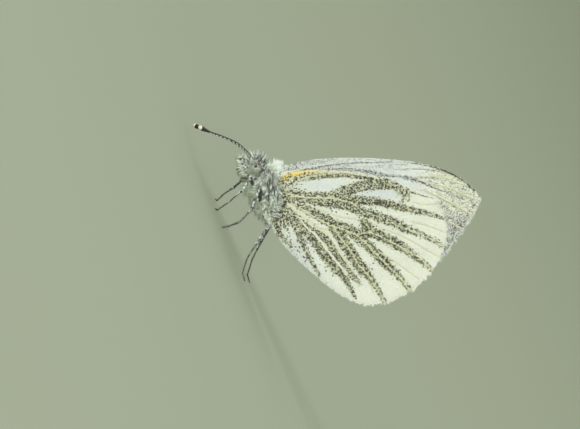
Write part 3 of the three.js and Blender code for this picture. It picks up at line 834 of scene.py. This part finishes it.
def wingMaterial(name, group, speckled):
    material, tree, shader = newMaterial(name, 0.62)
    values = {label: readFloat(tree, label.lower()) for label in (*paleTints, "Dark")}
    if speckled:  # the bare skin carries the dusting as a fine grain
        grain = grainOf(tree, 9000, 1)
        chance = mathNode(tree, "SUBTRACT", mathNode(tree, "ADD", values["Dark"], grain), 0.85)
        values["Dark"] = mathNode(tree, "MULTIPLY", chance, 3, clamp=True)
        values["Jitter"] = grain
    else:
        values["Jitter"] = readFloat(tree, "jitter")
    pigment = addNode(tree, "Group", values, node_tree=group)
    tree.links.new(pigment.outputs["Color"], shader.inputs["Base Color"])
    return material


pigment = pigmentGroup()
skinPigment = wingMaterial("wingSkinFinish", pigment, True)
scalePigment = wingMaterial("wingScaleFinish", pigment, False)

for wing, part in ((forewing, "forewing"), (hindwing, "hindwing")):
    mesh = buildWingSkin(wing, f"{part}SkinLeft")
    markWingSkin(wing, mesh)
    skin = newObject(f"{part}SkinLeft", mesh)
    scales = layWingScales(wing, part)
    edging = layFringe(wing, f"{part}FringeLeft")
    for piece in (skin, *scales, edging):
        twin = mirrored(piece, piece.name.replace("Left", "Right"))
        isSkin = piece is skin
        finish = skinPigment if isSkin else scalePigment
        dress(piece, finish, [f"{part}_left"] if isSkin else ())
        dress(twin, finish, [f"{part}_right"] if isSkin else ())
    print("wing:", part, sum(len(layer.data.polygons) for layer in scales), "faces of scales")

# Body: one skin from face to tail, under its hair

bodySkin = {
    "stops": [
        (-7.22, 0, 5.42, 0.25, 0.3), (-7.02, 0, 5.48, 0.58, 0.66), (-6.6, 0, 5.64, 0.76, 0.88),
        (-6.1, 0, 5.86, 0.78, 0.92), (-5.7, 0, 6.04, 0.62, 0.76), (-5.42, 0, 6.18, 0.66, 0.94),
        (-5.1, 0, 6.34, 0.94, 1.4), (-4.6, 0, 6.46, 1.16, 1.72), (-3.9, 0, 6.46, 1.3, 1.82),
        (-3.1, 0, 6.33, 1.36, 1.78), (-2.3, 0, 6.14, 1.32, 1.64), (-1.5, 0, 5.98, 1.16, 1.4),
        (-0.9, 0, 5.92, 0.9, 1.08), (-0.4, 0, 5.98, 0.7, 0.8), (0.2, 0, 6.14, 0.8, 0.9),
        (1.0, 0, 6.38, 0.92, 1.03), (1.8, 0, 6.62, 0.96, 1.08), (2.6, 0, 6.87, 0.95, 1.06),
        (3.4, 0, 7.12, 0.9, 1.02), (4.2, 0, 7.37, 0.83, 0.96), (5.0, 0, 7.62, 0.74, 0.87),
        (5.7, 0, 7.84, 0.62, 0.75), (6.3, 0, 8.03, 0.48, 0.58), (6.8, 0, 8.18, 0.3, 0.36),
        (7.02, 0, 8.25, 0.1, 0.13),
    ],
    "sides": 40, "steps": 150,
    "neck": 0.2, "waist": 0.54,  # as shares of the stops
}
eye = {
    "centre": (-6.2, 0.8, 5.7), "radius": 0.7, "squash": (1, 0.84, 1.06),
    "spots": [  # back, up, how wide and how dark
        (-0.3, 0.22, 0.25, 1), (-0.02, -0.3, 0.1, 0.5), (0.3, 0.16, 0.09, 0.4), (-0.72, -0.16, 0.11, 0.7),
        (0.04, 0.66, 0.1, 0.6), (-0.6, 0.6, 0.08, 0.5),
    ],
}


def coatGroup():
    group, given, result = newGroup("coatTone", ("Pale", "Deep"), ("Dark", "Jitter"))
    colour = mixColours(group, given["Dark"], given["Pale"], given["Deep"])
    group.links.new(shadeBy(group, colour, given["Jitter"], 0.74, 1.16), result["Color"])
    return group


def coatMaterial(name, group, pale, deep):
    # one finish for a skin and its hair: dark hair among pale, by the mesh's own attributes
    material, tree, shader = newMaterial(name, 0.6)
    marks = {label: readFloat(tree, label.lower()) for label in ("Dark", "Jitter")}
    tone = addNode(tree, "Group", {"Pale": pale, "Deep": deep, **marks}, node_tree=group)
    tree.links.new(tone.outputs["Color"], shader.inputs["Base Color"])
    return material


def addSkinGrain(piece, dark):
    count = len(piece.data.vertices)
    addFloats(piece.data, {"dark": np.broadcast_to(dark, count) + rng.uniform(-0.1, 0.1, count),
                           "jitter": rng.random(count)})


def buildBody():  # the skin is dark, partly its own colour and partly painted shade between the locks, and pale underneath and under the crest: painted light that lifts the shade there
    body = tube("bodySkin", bodySkin["stops"], bodySkin["sides"], bodySkin["steps"])
    lift = np.array([vert.normal.z for vert in body.data.vertices])
    back = cornersOf(body.data)[:, 0]
    crested = fade(0.2, 0.8, lift) * fade(-5.6, -5.2, back) * fade(-1, -2, back)
    addSkinGrain(body, 0.85 - 0.65 * np.maximum(fade(0.1, -0.5, lift), crested))
    return body


bodyFinish = coatMaterial("bodyCoatFinish", coatGroup(), srgb(243, 250, 236), srgb(47, 58, 53))
bodyPiece = buildBody()
rootTuft = growRootHair(hindwing, "wingRootHairLeft")
dress(mirrored(rootTuft, "wingRootHairRight"), bodyFinish)
dress(rootTuft, bodyFinish)
dress(bodyPiece, bodyFinish, ["head", "collar", "thorax", "abdomen"])


def awayFromEyes(place, margin=1.02):  # 0 inside an eye, 1 clear of both
    oneSide = np.abs(place) * (0, 1, 0) + place * (1, 0, 1)
    offset = (oneSide - np.array(eye["centre"])) / np.array(eye["squash"])
    return (np.linalg.norm(offset, axis=-1) / eye["radius"] > margin).astype(float)


coatHabit = {  # how every coat grows
    "lean": (0.9, 0.2), "stray": 0.2,  # how neighbours lean together, and each hair's own turn
    "rise": 0.12, "sink": 0.02,  # the least rise off the skin, and how deep the roots are
    "length": (0.5, 1.3), "width": (0.7, 1.3),
    "loose": (0.15, 0.3), "drawn": (0.7, 1.1),  # the share that is drawn less into locks, and how much less
    "wave": (0.7, 0.16), "sag": 0.18,
    "deep": (0.6, 1), "lockTone": 0.8, "stained": 0.1,  # tones of dark hair, and how many take their lock's
    # belly: how much whiter the hair is underneath, partly its own colour and partly painted light
    "brightest": 0.9, "uneven": 0.15, "belly": 0.4,
}


def intoLocks(place, tip, leaders, lock):  # each hair's tip is drawn to the tip of the nearest leader
    apart = ((place[:, None] - place[leaders][None]) ** 2).sum(-1)
    leader = leaders[np.argmin(apart, axis=1)]
    often, little = coatHabit["loose"]
    loose = np.where(rng.random((len(place), 1)) < often, little, 1)
    drawn = lock[1] * loose * rng.uniform(*coatHabit["drawn"], (len(place), 1))
    return tip + (tip[leader] - tip) * drawn, leader


def coat(name, stops, hair, density, lie, length, dark):
    # hair["lock"]: how many hairs fall into one lock, and how far their tips are drawn to its tip
    count, habit = hair["hairs"], coatHabit
    place, outward, ahead, share, unwrap = rootsOn(stops, count, density)
    heading = lie(place, outward, ahead, share) + tufted(place, *habit["lean"])
    heading = unit(heading + rng.normal(0, habit["stray"], place.shape))
    inward = np.minimum((heading * outward).sum(1, keepdims=True) - habit["rise"], 0)
    heading = unit(heading - outward * inward)
    long = length(place, outward, share) * rng.uniform(*habit["length"], count)
    leaders = rng.choice(count, max(1, count // hair["lock"][0]), replace=False)
    tip, leader = intoLocks(place, place + heading * long[:, None], leaders, hair["lock"])
    heading, long = unit(tip - place), np.linalg.norm(tip - place, axis=1)
    droop = tufted(place[leader] + 3, *habit["wave"]) - outward * habit["sag"]
    chance = dark(place, outward, share)
    deep = (rng.random(count) < chance) * rng.uniform(*habit["deep"], count)
    tone = np.where(rng.random(count) < habit["lockTone"], deep[leader], deep) + habit["stained"] * chance
    bright = rng.uniform(hair.get("white", 0.1), habit["brightest"], count)[leader]
    bright = bright + rng.uniform(-habit["uneven"], habit["uneven"], count)
    bright = bright + habit["belly"] * fade(0.1, -0.5, outward[:, 2])  # whitest underneath: partly the hair's own colour, partly painted light on its shaded underside
    floats = {"dark": np.clip(tone, 0, 1), "jitter": np.clip(bright, 0, 1)}
    width = hair["width"] * rng.uniform(*habit["width"], count)
    root = place - outward * habit["sink"]
    piece = growHairs(name, root, heading, droop * long[:, None], long, width, unwrap, floats)
    return dress(piece, bodyFinish)


def straight(heading, rise):  # hair that all lies one way, and a little off the skin
    return lambda place, outward, ahead, share: np.array(heading) + outward * rise


def evenly(value):  # one length or darkness all over
    return lambda place, outward, share: value


neck, waist = bodySkin["neck"], bodySkin["waist"]

# Head

headHair = {"hairs": 4600, "width": 0.055, "lock": (10, 0.86)}
browHair = {
    "centre": (-6.8, 0, 6.3), "reach": (0.45, 0.5, 0.4), "hairs": 900, "width": 0.042, "length": 1.15,
    "spread": (0.6, 1.1), "lock": (7, 0.9),
}
faceHair = {
    "centre": (-7.0, 0, 5.6), "reach": (0.4, 0.6, 0.6), "hairs": 1000, "width": 0.05, "length": 0.95,
    "spread": (0.5, 1.15), "lock": (11, 0.94), "white": 0.4,
}


def headDensity(share, place, outward):
    return (share < neck + 0.02) * awayFromEyes(place, 0.9) * (share > 0.005)


def headLie(place, outward, ahead, share):
    brow = fade(5.7, 6.3, place[:, 2])[:, None]
    chin = fade(5.5, 5.0, place[:, 2])[:, None]
    up = np.array([-0.75, 0, 0.75]) * brow + np.array([-0.3, 0, -0.9]) * chin
    return outward * 0.75 + up + np.array([-0.5, 0, 0.0]) * (1 - brow)


def headLength(place, outward, share):
    rear = fade(-6.2, -5.7, place[:, 0])
    brow = fade(5.8, 6.4, place[:, 2]) * fade(0.35, 0.0, np.abs(place[:, 1]) - 0.2) * (1 - rear)
    side = fade(0.45, 0.75, np.abs(place[:, 1]))
    return 0.42 + 0.65 * brow - 0.14 * side + 0.6 * fade(5.3, 5.0, place[:, 2]) - 0.14 * rear


def headDark(place, outward, share):
    return 0.28 + 0.25 * fade(5.6, 6.2, place[:, 2])


def insideTuft(tuft):
    def density(share, place, outward):
        offset = (place - np.array(tuft["centre"])) / np.array(tuft["reach"])
        return (share < neck) * (np.linalg.norm(offset, axis=-1) < 1) + 0.0
    return density


def tuftLength(tuft):
    return lambda place, outward, share: tuft["length"] * rng.uniform(*tuft["spread"], share.shape)


coat("headHair", bodySkin["stops"], headHair, headDensity, headLie, headLength, headDark)
coat("browHair", bodySkin["stops"], browHair, insideTuft(browHair),
     straight((-0.75, 0, 0.6), 0.3), tuftLength(browHair), evenly(0.55))
coat("faceHair", bodySkin["stops"], faceHair, insideTuft(faceHair),
     straight((-0.92, 0, -0.3), 0.35), tuftLength(faceHair), evenly(0.3))

# Thorax, with its crest and chest

thoraxHair = {"hairs": 12500, "width": 0.053, "lock": (12, 0.8)}
crestHair = {"hairs": 2400, "width": 0.05, "length": 1.2, "lock": (12, 0.84), "white": 0.85}
chestHair = {"hairs": 1700, "width": 0.055, "length": 1.3, "lock": (14, 0.88), "white": 0.6}


def thoraxDensity(share, place, outward):
    return (share > neck - 0.01) * (share < waist + 0.02) * awayFromEyes(place)


def thoraxLie(place, outward, ahead, share):
    top = fade(0.35, 0.85, outward[:, 2])[:, None]
    under = fade(0.0, -0.55, outward[:, 2])[:, None]
    front = fade(-3.8, -5, place[:, 0])[:, None]
    side = np.array([0.84, 0, -0.5]) * (1 - 0.4 * front)
    crest = np.array([-0.62, 0, 0.7]) * front + np.array([0.3, 0, 0.8]) * (1 - front)
    belly = np.array([-0.2, 0, -0.95]) * front + np.array([0.5, 0, -0.6]) * (1 - front)
    return side * (1 - top) * (1 - under) + crest * top + belly * under + outward * (0.16 + 0.34 * front)


def thoraxLength(place, outward, share):
    top = fade(0.3, 0.9, outward[:, 2])
    under = fade(-0.2, -0.8, outward[:, 2])
    front = fade(-3.2, -4.2, place[:, 0])
    nape = fade(-5, -5.5, place[:, 0])
    hinge = fade(-3.8, -3, place[:, 0]) * (1 - top) * (1 - under)
    return 1.15 - 0.1 * top + (0.2 + 0.55 * front) * under - 0.5 * nape * (1 - under) - 0.4 * hinge


def thoraxDark(place, outward, share):
    hinge = bell(place[:, 0], place[:, 2], (-4.3, 6.6), (0.4, 0.4))
    return 0.33 * fade(0.7, 0.2, np.abs(outward[:, 2])) + 0.03 + 0.35 * hinge


def crestDensity(share, place, outward):
    along = fade(-5.75, -5.4, place[..., 0]) * fade(-3.6, -4, place[..., 0])
    return (share > neck) * along * fade(0.3, 0.65, outward[..., 2])


def chestDensity(share, place, outward):
    along = fade(-5.6, -5.1, place[..., 0]) * fade(-3.0, -3.8, place[..., 0])
    return (share > neck) * along * fade(-0.3, -0.7, outward[..., 2])


coat("thoraxHair", bodySkin["stops"], thoraxHair, thoraxDensity, thoraxLie, thoraxLength,
     thoraxDark)
coat("crestHair", bodySkin["stops"], crestHair, crestDensity,
     straight((-0.66, 0, 0.66), 0.3), evenly(crestHair["length"]), evenly(0.01))
coat("chestHair", bodySkin["stops"], chestHair, chestDensity,
     straight((-0.25, 0, -0.9), 0.25), evenly(chestHair["length"]), evenly(0.02))

# Abdomen

abdomenHair = {"hairs": 8000, "width": 0.075, "length": 0.24, "lock": (5, 0.3)}


def abdomenDensity(share, place, outward):
    return (share > waist) * (share < 0.985)


def abdomenDark(place, outward, share):
    return 0.12 + 0.75 * fade(0.35, 0.9, outward[:, 2])


coat("abdomenHair", bodySkin["stops"], abdomenHair, abdomenDensity,
     lambda place, outward, ahead, share: ahead + outward * 0.1, evenly(abdomenHair["length"]), abdomenDark)
print("body: skin and hair done")

# Eyes

def eyeMaterial():
    material, tree, shader = newMaterial("eyeFinish", 0.28)
    shader.inputs["Coat Weight"].default_value = 0.25
    shader.inputs["Specular IOR Level"].default_value = 0.25
    shader.inputs["Coat Roughness"].default_value = 0.2
    cloud = mathNode(tree, "SUBTRACT", grainOf(tree, 2600), 0.42)
    blotch = mathNode(tree, "MULTIPLY", cloud, 4, clamp=True)
    colour = mixColours(tree, blotch, srgb(160, 172, 156), srgb(184, 190, 168))
    colour = mixColours(tree, readFloat(tree, "crown"), colour, srgb(142, 120, 114))
    colour = mixColours(tree, readFloat(tree, "spot"), colour, srgb(10, 12, 10))
    where = addNode(tree, "TexCoord").outputs["Object"]
    facets = addNode(tree, "TexVoronoi", {"Vector": where, "Scale": 26000, "Randomness": 0.35})
    facet = facets.outputs["Distance"]
    tree.links.new(shadeBy(tree, colour, facet, 1.12, 0.8, fullAt=0.6), shader.inputs["Base Color"])
    bump = addNode(tree, "Bump", {"Strength": 0.35, "Distance": 0.00001, "Height": facet}, invert=True)
    tree.links.new(bump.outputs[0], shader.inputs["Normal"])
    return material


def buildEye(name, sign):
    bm = bmesh.new()
    bmesh.ops.create_icosphere(bm, subdivisions=5, radius=eye["radius"])
    local = np.array([vert.co for vert in bm.verts]) / eye["radius"]
    centre = Vector(eye["centre"]) * Vector((1, sign, 1))
    bmesh.ops.scale(bm, vec=eye["squash"], verts=bm.verts[:])
    bmesh.ops.translate(bm, vec=centre, verts=bm.verts[:])
    bmesh.ops.scale(bm, vec=(mm, mm, mm), verts=bm.verts[:])
    mesh = smoothMesh(bm, name)
    spot = np.zeros(len(local))
    outer = local[:, 1] * sign > 0.2
    for back, up, wide, deep in eye["spots"]:
        reach = np.hypot(local[:, 0] - back, local[:, 2] - up)
        spot = np.maximum(spot, deep * fade(wide * 1.2, wide * 0.75, reach) * outer)
    crown = fade(0.2, 0.7, local[:, 2] * 0.5 - local[:, 0] * 0.75)
    addFloats(mesh, {"spot": spot, "crown": crown})
    return newObject(name, mesh)


# across: how far over the edge its roots go, in radians, sunk: how near the eye's surface they are
eyeRim = {"hairs": 420, "length": 0.34, "width": 0.045, "across": 0.4, "sunk": 0.98}


def growEyeRim(name, sign):  # the hair round an eye, leaning over its edge
    count = eyeRim["hairs"]
    spread = evenPairs(count)
    turn, out = spread[:, 0] * 2 * math.pi, spread[:, 1] * eyeRim["across"]
    ring = np.stack([np.cos(turn), 0 * turn, np.sin(turn)], 1)
    aside = np.array([0.0, sign, 0.0])
    reach = eye["radius"] * np.array(eye["squash"])
    place = np.array(eye["centre"]) * (1, sign, 1)
    place = place + (ring * np.cos(out)[:, None] + aside * np.sin(out)[:, None]) * reach * eyeRim["sunk"]
    behind = ring @ np.array([0.375, 0, 0.927])
    heading = unit(aside * 0.75 + ring * 0.35 + tufted(place, 0.3, 0.5) + rng.normal(0, 0.2, place.shape))
    long = eyeRim["length"] * rng.uniform(0.6, 1.3, count)
    isDark = rng.random(count) < 0.12 + 0.6 * fade(0.2, 0.9, behind)
    tone = np.where(isDark, rng.uniform(0.7, 1, count), 0.05)
    width = eyeRim["width"] * rng.uniform(0.7, 1.3, count)
    return growHairs(name, place, heading, -ring * 0.3 * long[:, None], long, width, spread,
                     {"dark": tone, "jitter": rng.random(count)})


eyeFinish = eyeMaterial()
for side, sign in (("left", -1), ("right", 1)):
    dress(buildEye(f"eyeball_{side}", sign), eyeFinish, [f"eye_{side}"])
    dress(growEyeRim(f"eyeRimHair_{side}", sign), bodyFinish)

# Palps and tongue

palp = {
    "stops": [
        (-5.9, 0.5, 4.86, 0.16, 0.18), (-6.3, 0.54, 4.66, 0.19, 0.24), (-6.9, 0.56, 4.6, 0.18, 0.22),
        (-7.45, 0.52, 4.66, 0.13, 0.16), (-7.8, 0.49, 4.74, 0.08, 0.09), (-7.95, 0.47, 4.79, 0.03, 0.03),
    ],
    "sides": 14, "steps": 28, "dark": 0.35, "hairs": 1500, "width": 0.055, "lock": (14, 0.92),
}


def palpLie(place, outward, ahead, share):
    under = fade(0.3, -0.5, outward[:, 2])[:, None]
    base = under * fade(0.5, 0.2, share)[:, None]  # here the hair hangs over the coiled tongue
    hanging = np.array([0.2, 0, -1.2]) * base + np.array([-0.3, 0, -0.6]) * (under - base)
    return ahead * (0.7 - 0.4 * under - 0.3 * base) + outward * (0.6 - 0.4 * base) + hanging


def palpLength(place, outward, share):
    under = fade(0.1, -0.8, outward[:, 2])
    return 0.42 + 0.3 * under * (1 + fade(0.5, 0.2, share)) + 0.2 * fade(0.5, 1, share)


def palpDark(place, outward, share):
    return 0.24 + 0.3 * fade(0, 0.7, outward[:, 2]) + 0.2 * fade(0.75, 1, share)


for side, sign in (("left", -1), ("right", 1)):
    stops = [(x, y * sign, z, wide, tall) for x, y, z, wide, tall in palp["stops"]]
    core = tube(f"palpSkin_{side}", stops, palp["sides"], palp["steps"])
    addSkinGrain(core, palp["dark"])
    dress(core, bodyFinish, [f"palp_{side}"])
    coat(f"palpHair_{side}", stops, palp, lambda share, place, outward: 1 + 0 * share,
         palpLie, palpLength, palpDark)

tongue = {
    "root": (-5.9, 0, 5.1), "centre": (-5.78, 4.42), "start": math.radians(105), "outer": 0.42,
    "turns": 2.6, "thick": 0.065, "stops": 40, "rings": 90, "ripple": 0.05, "sides": 10, "steps": 360,
}


def tongueStops():
    stops = [(*tongue["root"], tongue["thick"], tongue["thick"])]
    for share in np.linspace(0, 1, tongue["stops"]):
        turn = tongue["start"] + share * tongue["turns"] * 2 * math.pi
        reach = tongue["outer"] * (1 - 0.8 * share)
        thick = tongue["thick"] * (1 - 0.45 * share)
        x = tongue["centre"][0] + reach * math.cos(turn)
        z = tongue["centre"][1] + reach * math.sin(turn)
        stops.append((x, 0.03 * math.sin(turn * 0.5), z, thick, thick))
    return stops


def tongueMaterial():
    material, tree, shader = newMaterial("tongueFinish", 0.35)
    rings = mathNode(tree, "MULTIPLY", readFloat(tree, "share"), tongue["rings"] * 2 * math.pi)
    tone = mathNode(tree, "MULTIPLY_ADD", mathNode(tree, "SINE", rings), 0.5, 0.5)
    colour = mixColours(tree, tone, srgb(88, 68, 50), srgb(138, 108, 78))
    tree.links.new(colour, shader.inputs["Base Color"])
    return material


tongueFinish = tongueMaterial()
curl = tube("tongue", tongueStops(), tongue["sides"], tongue["steps"], tongue["rings"], tongue["ripple"])
dress(curl, tongueFinish, ["proboscis"])

# Feelers

feelers = {
    "left": [(-6.95, -0.36, 5.82), (-7.4, -0.6, 5.82), (-8.3, -1.15, 5.55), (-9.55, -2.05, 4.96),
             (-10.8, -3.1, 3.85), (-11.75, -4.05, 2.86)],
    "right": [(-6.95, 0.36, 5.82), (-7.4, 0.62, 5.75), (-8.3, 1.2, 5.35), (-9.6, 2.15, 4.55),
              (-10.85, 3.2, 3.35), (-11.8, 4.15, 2.2)],
    "tips": {"left": (-12.9, -5.1, 1.84), "right": (-13.1, 5.1, 0.9)},
    "shaft": 0.11, "club": 0.28, "flat": 0.85,  # the last is the club's height by its width
    "swell": [(0.25, 0.52), (0.5, 0.8), (0.75, 1), (0.92, 0.98), (1, 0.4)],  # along the club, and how wide
    "rings": 34, "ripple": 0.07, "sides": 12, "steps": 330,
}


def feelerStops(side):
    socket = feelers["shaft"] * 1.25
    stops = [(*point, feelers["shaft"] if i else socket, feelers["shaft"])
             for i, point in enumerate(feelers[side])]
    start, tip = np.array(feelers[side][-1]), np.array(feelers["tips"][side])
    for share, swell in feelers["swell"]:
        wide = feelers["club"] * swell
        stops.append((*between(start, tip, share), wide, wide * feelers["flat"]))
    return stops


def sideways(piece, sides, direction):  # how far each corner of a tube faces a direction
    rings = cornersOf(piece.data).reshape(-1, sides, 3)
    outward = unit(rings - rings.mean(1, keepdims=True))
    return (outward @ unit(np.array(direction))).ravel()


def feelerMaterial():
    material, tree, shader = newMaterial("feelerFinish", 0.45)
    rings = mathNode(tree, "MULTIPLY", readFloat(tree, "share"), feelers["rings"])
    ragged = mathNode(tree, "MULTIPLY_ADD", grainOf(tree, 12000), 0.9, mathNode(tree, "FRACT", rings))
    white = mathNode(tree, "MULTIPLY", mathNode(tree, "LESS_THAN", ragged, 1), readFloat(tree, "scaled"))
    colour = mixColours(tree, white, srgb(26, 24, 22), srgb(236, 238, 230))
    colour = mixColours(tree, readFloat(tree, "tip"), colour, srgb(234, 224, 200))
    tree.links.new(colour, shader.inputs["Base Color"])
    return material


feelerFinish = feelerMaterial()
for side, sign in (("left", -1), ("right", 1)):
    sides, steps = feelers["sides"], feelers["steps"]
    piece = tube(f"feeler_{side}", feelerStops(side), sides, steps, feelers["rings"], feelers["ripple"])
    share = np.repeat(np.linspace(0, 1, steps), sides)
    under = sideways(piece, sides, (0.39, 0.3 * sign, -0.92))
    addFloats(piece.data, {"scaled": fade(0, 0.2, under) * fade(0.6, 0.5, share),
                           "tip": fade(0.852, 0.862, share)})
    dress(piece, feelerFinish, [f"antenna_{side}", f"antenna_club_{side}"])
print("head: eyes, palps, tongue and feelers done")

# Legs, each from hip to claw: hip, knee, ankle, arch, heel and toe

legs = {
    "front_left": [(-4.5, -0.6, 4.8), (-5.5, -2.3, 4.95), (-4.55, -3.1, 3.5), (-3.95, -3.35, 1.75),
                   (-3.6, -3.5, 0.2), (-3.85, -4.1, 0.09)],
    "front_right": [(-4.5, 0.6, 4.8), (-5.5, 1.8, 3.8), (-5, 2.6, 2.5), (-4.7, 3.1, 1.2),
                    (-4.3, 3.4, 0.2), (-4.5, 4, 0.09)],
    "middle_left": [(-2.3, -0.6, 4.7), (-4.15, -2.85, 5.5), (-2.15, -3.75, 3.6), (-1.45, -4.15, 1.9),
                    (-1.6, -4.45, 0.2), (-1.75, -5.1, 0.09)],
    "middle_right": [(-2.3, 0.6, 4.7), (-3.6, 2.9, 5.2), (-1.9, 3.75, 3.4), (-1.15, 4.15, 1.8),
                     (-1.05, 4.45, 0.2), (-1.2, 5.1, 0.09)],
    "hind_left": [(-1.2, -0.5, 4.75), (0.15, -2.6, 4.95), (1.5, -3.25, 2.75), (2.6, -3.6, 1.25),
                  (3.85, -3.85, 0.2), (4.8, -4.1, 0.09)],
    "hind_right": [(-1.2, 0.5, 4.75), (0.3, 2.6, 4.95), (1.9, 3.3, 3), (3.3, 3.7, 1.4),
                   (4.75, 3.95, 0.2), (5.7, 4.2, 0.09)],
}
legWidths = {"hip": 0.27, "thigh": 0.2, "knee": 0.15, "shin": 0.14, "foot": 0.085, "toe": 0.06}
legStretches = [  # from each joint to the next: how far along, which half width, and how much of it
    [(0, "hip", 1), (0.35, "thigh", 1), (0.7, "thigh", 0.94), (0.93, "knee", 1)],
    [(0, "knee", 0.95), (0.1, "shin", 1.02), (0.5, "shin", 1.05), (0.92, "shin", 1)],
    [(0, "shin", 0.95), (0.5, "foot", 1)],
    [(0, "foot", 1), (0.5, "foot", 1), (0.9, "foot", 0.95)],
    [(0, "foot", 0.95), (0.5, "foot", 0.9), (1, "toe", 1)],
]
# the side of a leg that faces the light: legs are painted pale on it and dark away from it, as painted light
# and shade
legSkin = {"sides": 12, "steps": 170, "litSide": (-0.93, 0, 0.37)}
legHair = {
    "hairs": 1300, "width": 0.075, "lock": (18, 0.3),
    "darkShare": {"front": 0.3, "middle": 0.5, "hind": 0.35},
}


def legStops(joints):
    points = np.array(joints, dtype=float)
    stops = []
    for start, end, stretch in zip(points, points[1:], legStretches):
        for share, part, scale in stretch:
            wide = legWidths[part] * scale
            stops.append((*between(start, end, share), wide, wide))
    return stops


def legMaterial():
    material, tree, shader = newMaterial("legFinish", 0.5)
    grain, paintedLight = grainOf(tree, 6000), readFloat(tree, "paintedLight")
    span = {"Value": readFloat(tree, "share"), "From Min": 0.5, "From Max": 0.62}
    foot = addNode(tree, "MapRange", span).outputs[0]
    mottle = mathNode(tree, "MULTIPLY_ADD", grain, 7, -3.2, clamp=True)
    pale = mixColours(tree, mottle, srgb(48, 50, 50), srgb(232, 234, 228))
    dusk = mixColours(tree, grain, srgb(30, 32, 34), srgb(92, 94, 90))
    # mottled pale on the side facing the light and dim away from it: painted light and shade
    shin = mixColours(tree, paintedLight, dusk, pale)
    brown = mixColours(tree, grain, srgb(40, 33, 27), srgb(86, 74, 62))
    # the foot is a little paler on its side facing the light: painted light
    brown = mixColours(tree, mathNode(tree, "MULTIPLY", paintedLight, 0.25), brown, pale)
    tree.links.new(mixColours(tree, foot, shin, brown), shader.inputs["Base Color"])
    return material


def legHairDark(darkShare):
    def dark(place, outward, share):
        # hair on the side away from the light is darker: painted shade
        shaded = fade(0.1, -0.6, outward @ np.array(legSkin["litSide"]))
        return 0.05 + darkShare * fade(0, 0.1, share) + 0.6 * np.maximum(shaded, fade(0.55, 0.62, share))
    return dark


def legHairLength(place, outward, share):
    return 0.3 - 0.12 * fade(0.15, 0.35, share) - 0.08 * fade(0.54, 0.6, share)


legFinish = legMaterial()
for name, joints in legs.items():
    stops = legStops(joints)
    piece = tube(f"leg_{name}", stops, legSkin["sides"], legSkin["steps"])
    facing = sideways(piece, legSkin["sides"], legSkin["litSide"])
    # how far each corner faces the light, for the painted light and shade
    addFloats(piece.data, {"paintedLight": fade(-0.7, -0.1, facing)})
    dress(piece, legFinish, [f"leg_{name}_{part}" for part in ("femur", "tibia", "tarsus")])
    coat(f"legHair_{name}", stops, legHair, lambda share, place, outward: 1.3 - share,
         lambda place, outward, ahead, share: ahead * 0.9 + outward * 0.1, legHairLength,
         legHairDark(legHair["darkShare"][name.split("_")[0]]))
print("legs done")

# Stage, light and camera

# flat: the radius of the level floor, cove: that of the cove round it, turn: how far this turns upwards
stage = {"flat": 0.45, "cove": 1.3, "sides": 128, "rings": 20, "turn": math.radians(50)}


def buildStage():
    bm = bmesh.new()
    bmesh.ops.create_circle(bm, cap_ends=True, segments=stage["sides"], radius=stage["flat"])
    rim = bm.edges[:]
    for i in range(stage["rings"]):
        turn = stage["turn"] * (i + 1) / stage["rings"]
        made = bmesh.ops.extrude_edge_only(bm, edges=rim)["geom"]
        rim = [item for item in made if isinstance(item, bmesh.types.BMEdge)]
        radius = stage["flat"] + stage["cove"] * math.sin(turn)
        height = stage["cove"] * (1 - math.cos(turn))
        for vert in {vert for edge in rim for vert in edge.verts}:
            around = math.atan2(vert.co.y, vert.co.x)
            vert.co = (radius * math.cos(around), radius * math.sin(around), height)
    bmesh.ops.recalc_face_normals(bm, faces=bm.faces[:])
    if sum(face.normal.z * face.calc_area() for face in bm.faces) < 0:
        bmesh.ops.reverse_faces(bm, faces=bm.faces[:])
    floor = newObject("floor", smoothMesh(bm, "floor"))
    floor.data.materials.append(newMaterial("paleFloor", 0.95, srgb(158, 166, 138))[0])


lights = {  # place, power and size
    "keyLight": ((-0.6, -0.4, 0.5), 2.6, 0.8), "fillLight": ((0.05, -0.8, 0.12), 2, 0.22),
    "lowLight": ((-0.5, -0.5, 0.11), 1.9, 0.2), "backLight": ((0.1, 0.6, 0.6), 1.7, 0.6),
}
daylight = {"colour": (0.93, 0.97, 1, 1), "strength": 0.6}


def addLights():
    target = Vector((0, 0, 0.012))
    for name, (place, energy, size) in lights.items():
        lamp = bpy.data.lights.new(name, "AREA")
        lamp.energy = energy
        lamp.size = size
        light = newObject(name, lamp)
        light.location = place
        light.rotation_euler = (target - Vector(place)).to_track_quat("-Z", "Y").to_euler()
    world = bpy.data.worlds.new("studio")
    world.use_nodes = True
    background = world.node_tree.nodes["Background"]
    background.inputs["Color"].default_value = daylight["colour"]
    background.inputs["Strength"].default_value = daylight["strength"]
    bpy.context.scene.world = world
    bpy.context.scene.view_settings.view_transform = "Standard"


shot = {
    "azimuth": math.radians(-3), "elevation": math.radians(2), "distance": 0.4,
    "aim": (1.56, -2.06, -1.2), "width": 64.44,  # a place on the wing and the width seen there, millimetres
    "sensor": 36, "clip": (0.01, 20),
}


def buildCamera():
    data = bpy.data.cameras.new("camera")
    data.sensor_width = shot["sensor"]
    data.lens = shot["sensor"] * shot["distance"] / (shot["width"] * mm)
    data.clip_start, data.clip_end = shot["clip"]
    camera = newObject("camera", data)
    level, raised = math.cos(shot["elevation"]), math.sin(shot["elevation"])
    back = Vector((math.sin(shot["azimuth"]) * level, -math.cos(shot["azimuth"]) * level, raised))
    aim = Vector(placeOnWing(*shot["aim"])) * mm
    turn = back.to_track_quat("Z", "Y").to_matrix() @ Matrix.Rotation(wingSeat["pitch"], 3, "Z")
    camera.matrix_world = Matrix.Translation(aim + back * shot["distance"]) @ turn.to_4x4()
    bpy.context.scene.camera = camera


buildStage()
addLights()
buildCamera()
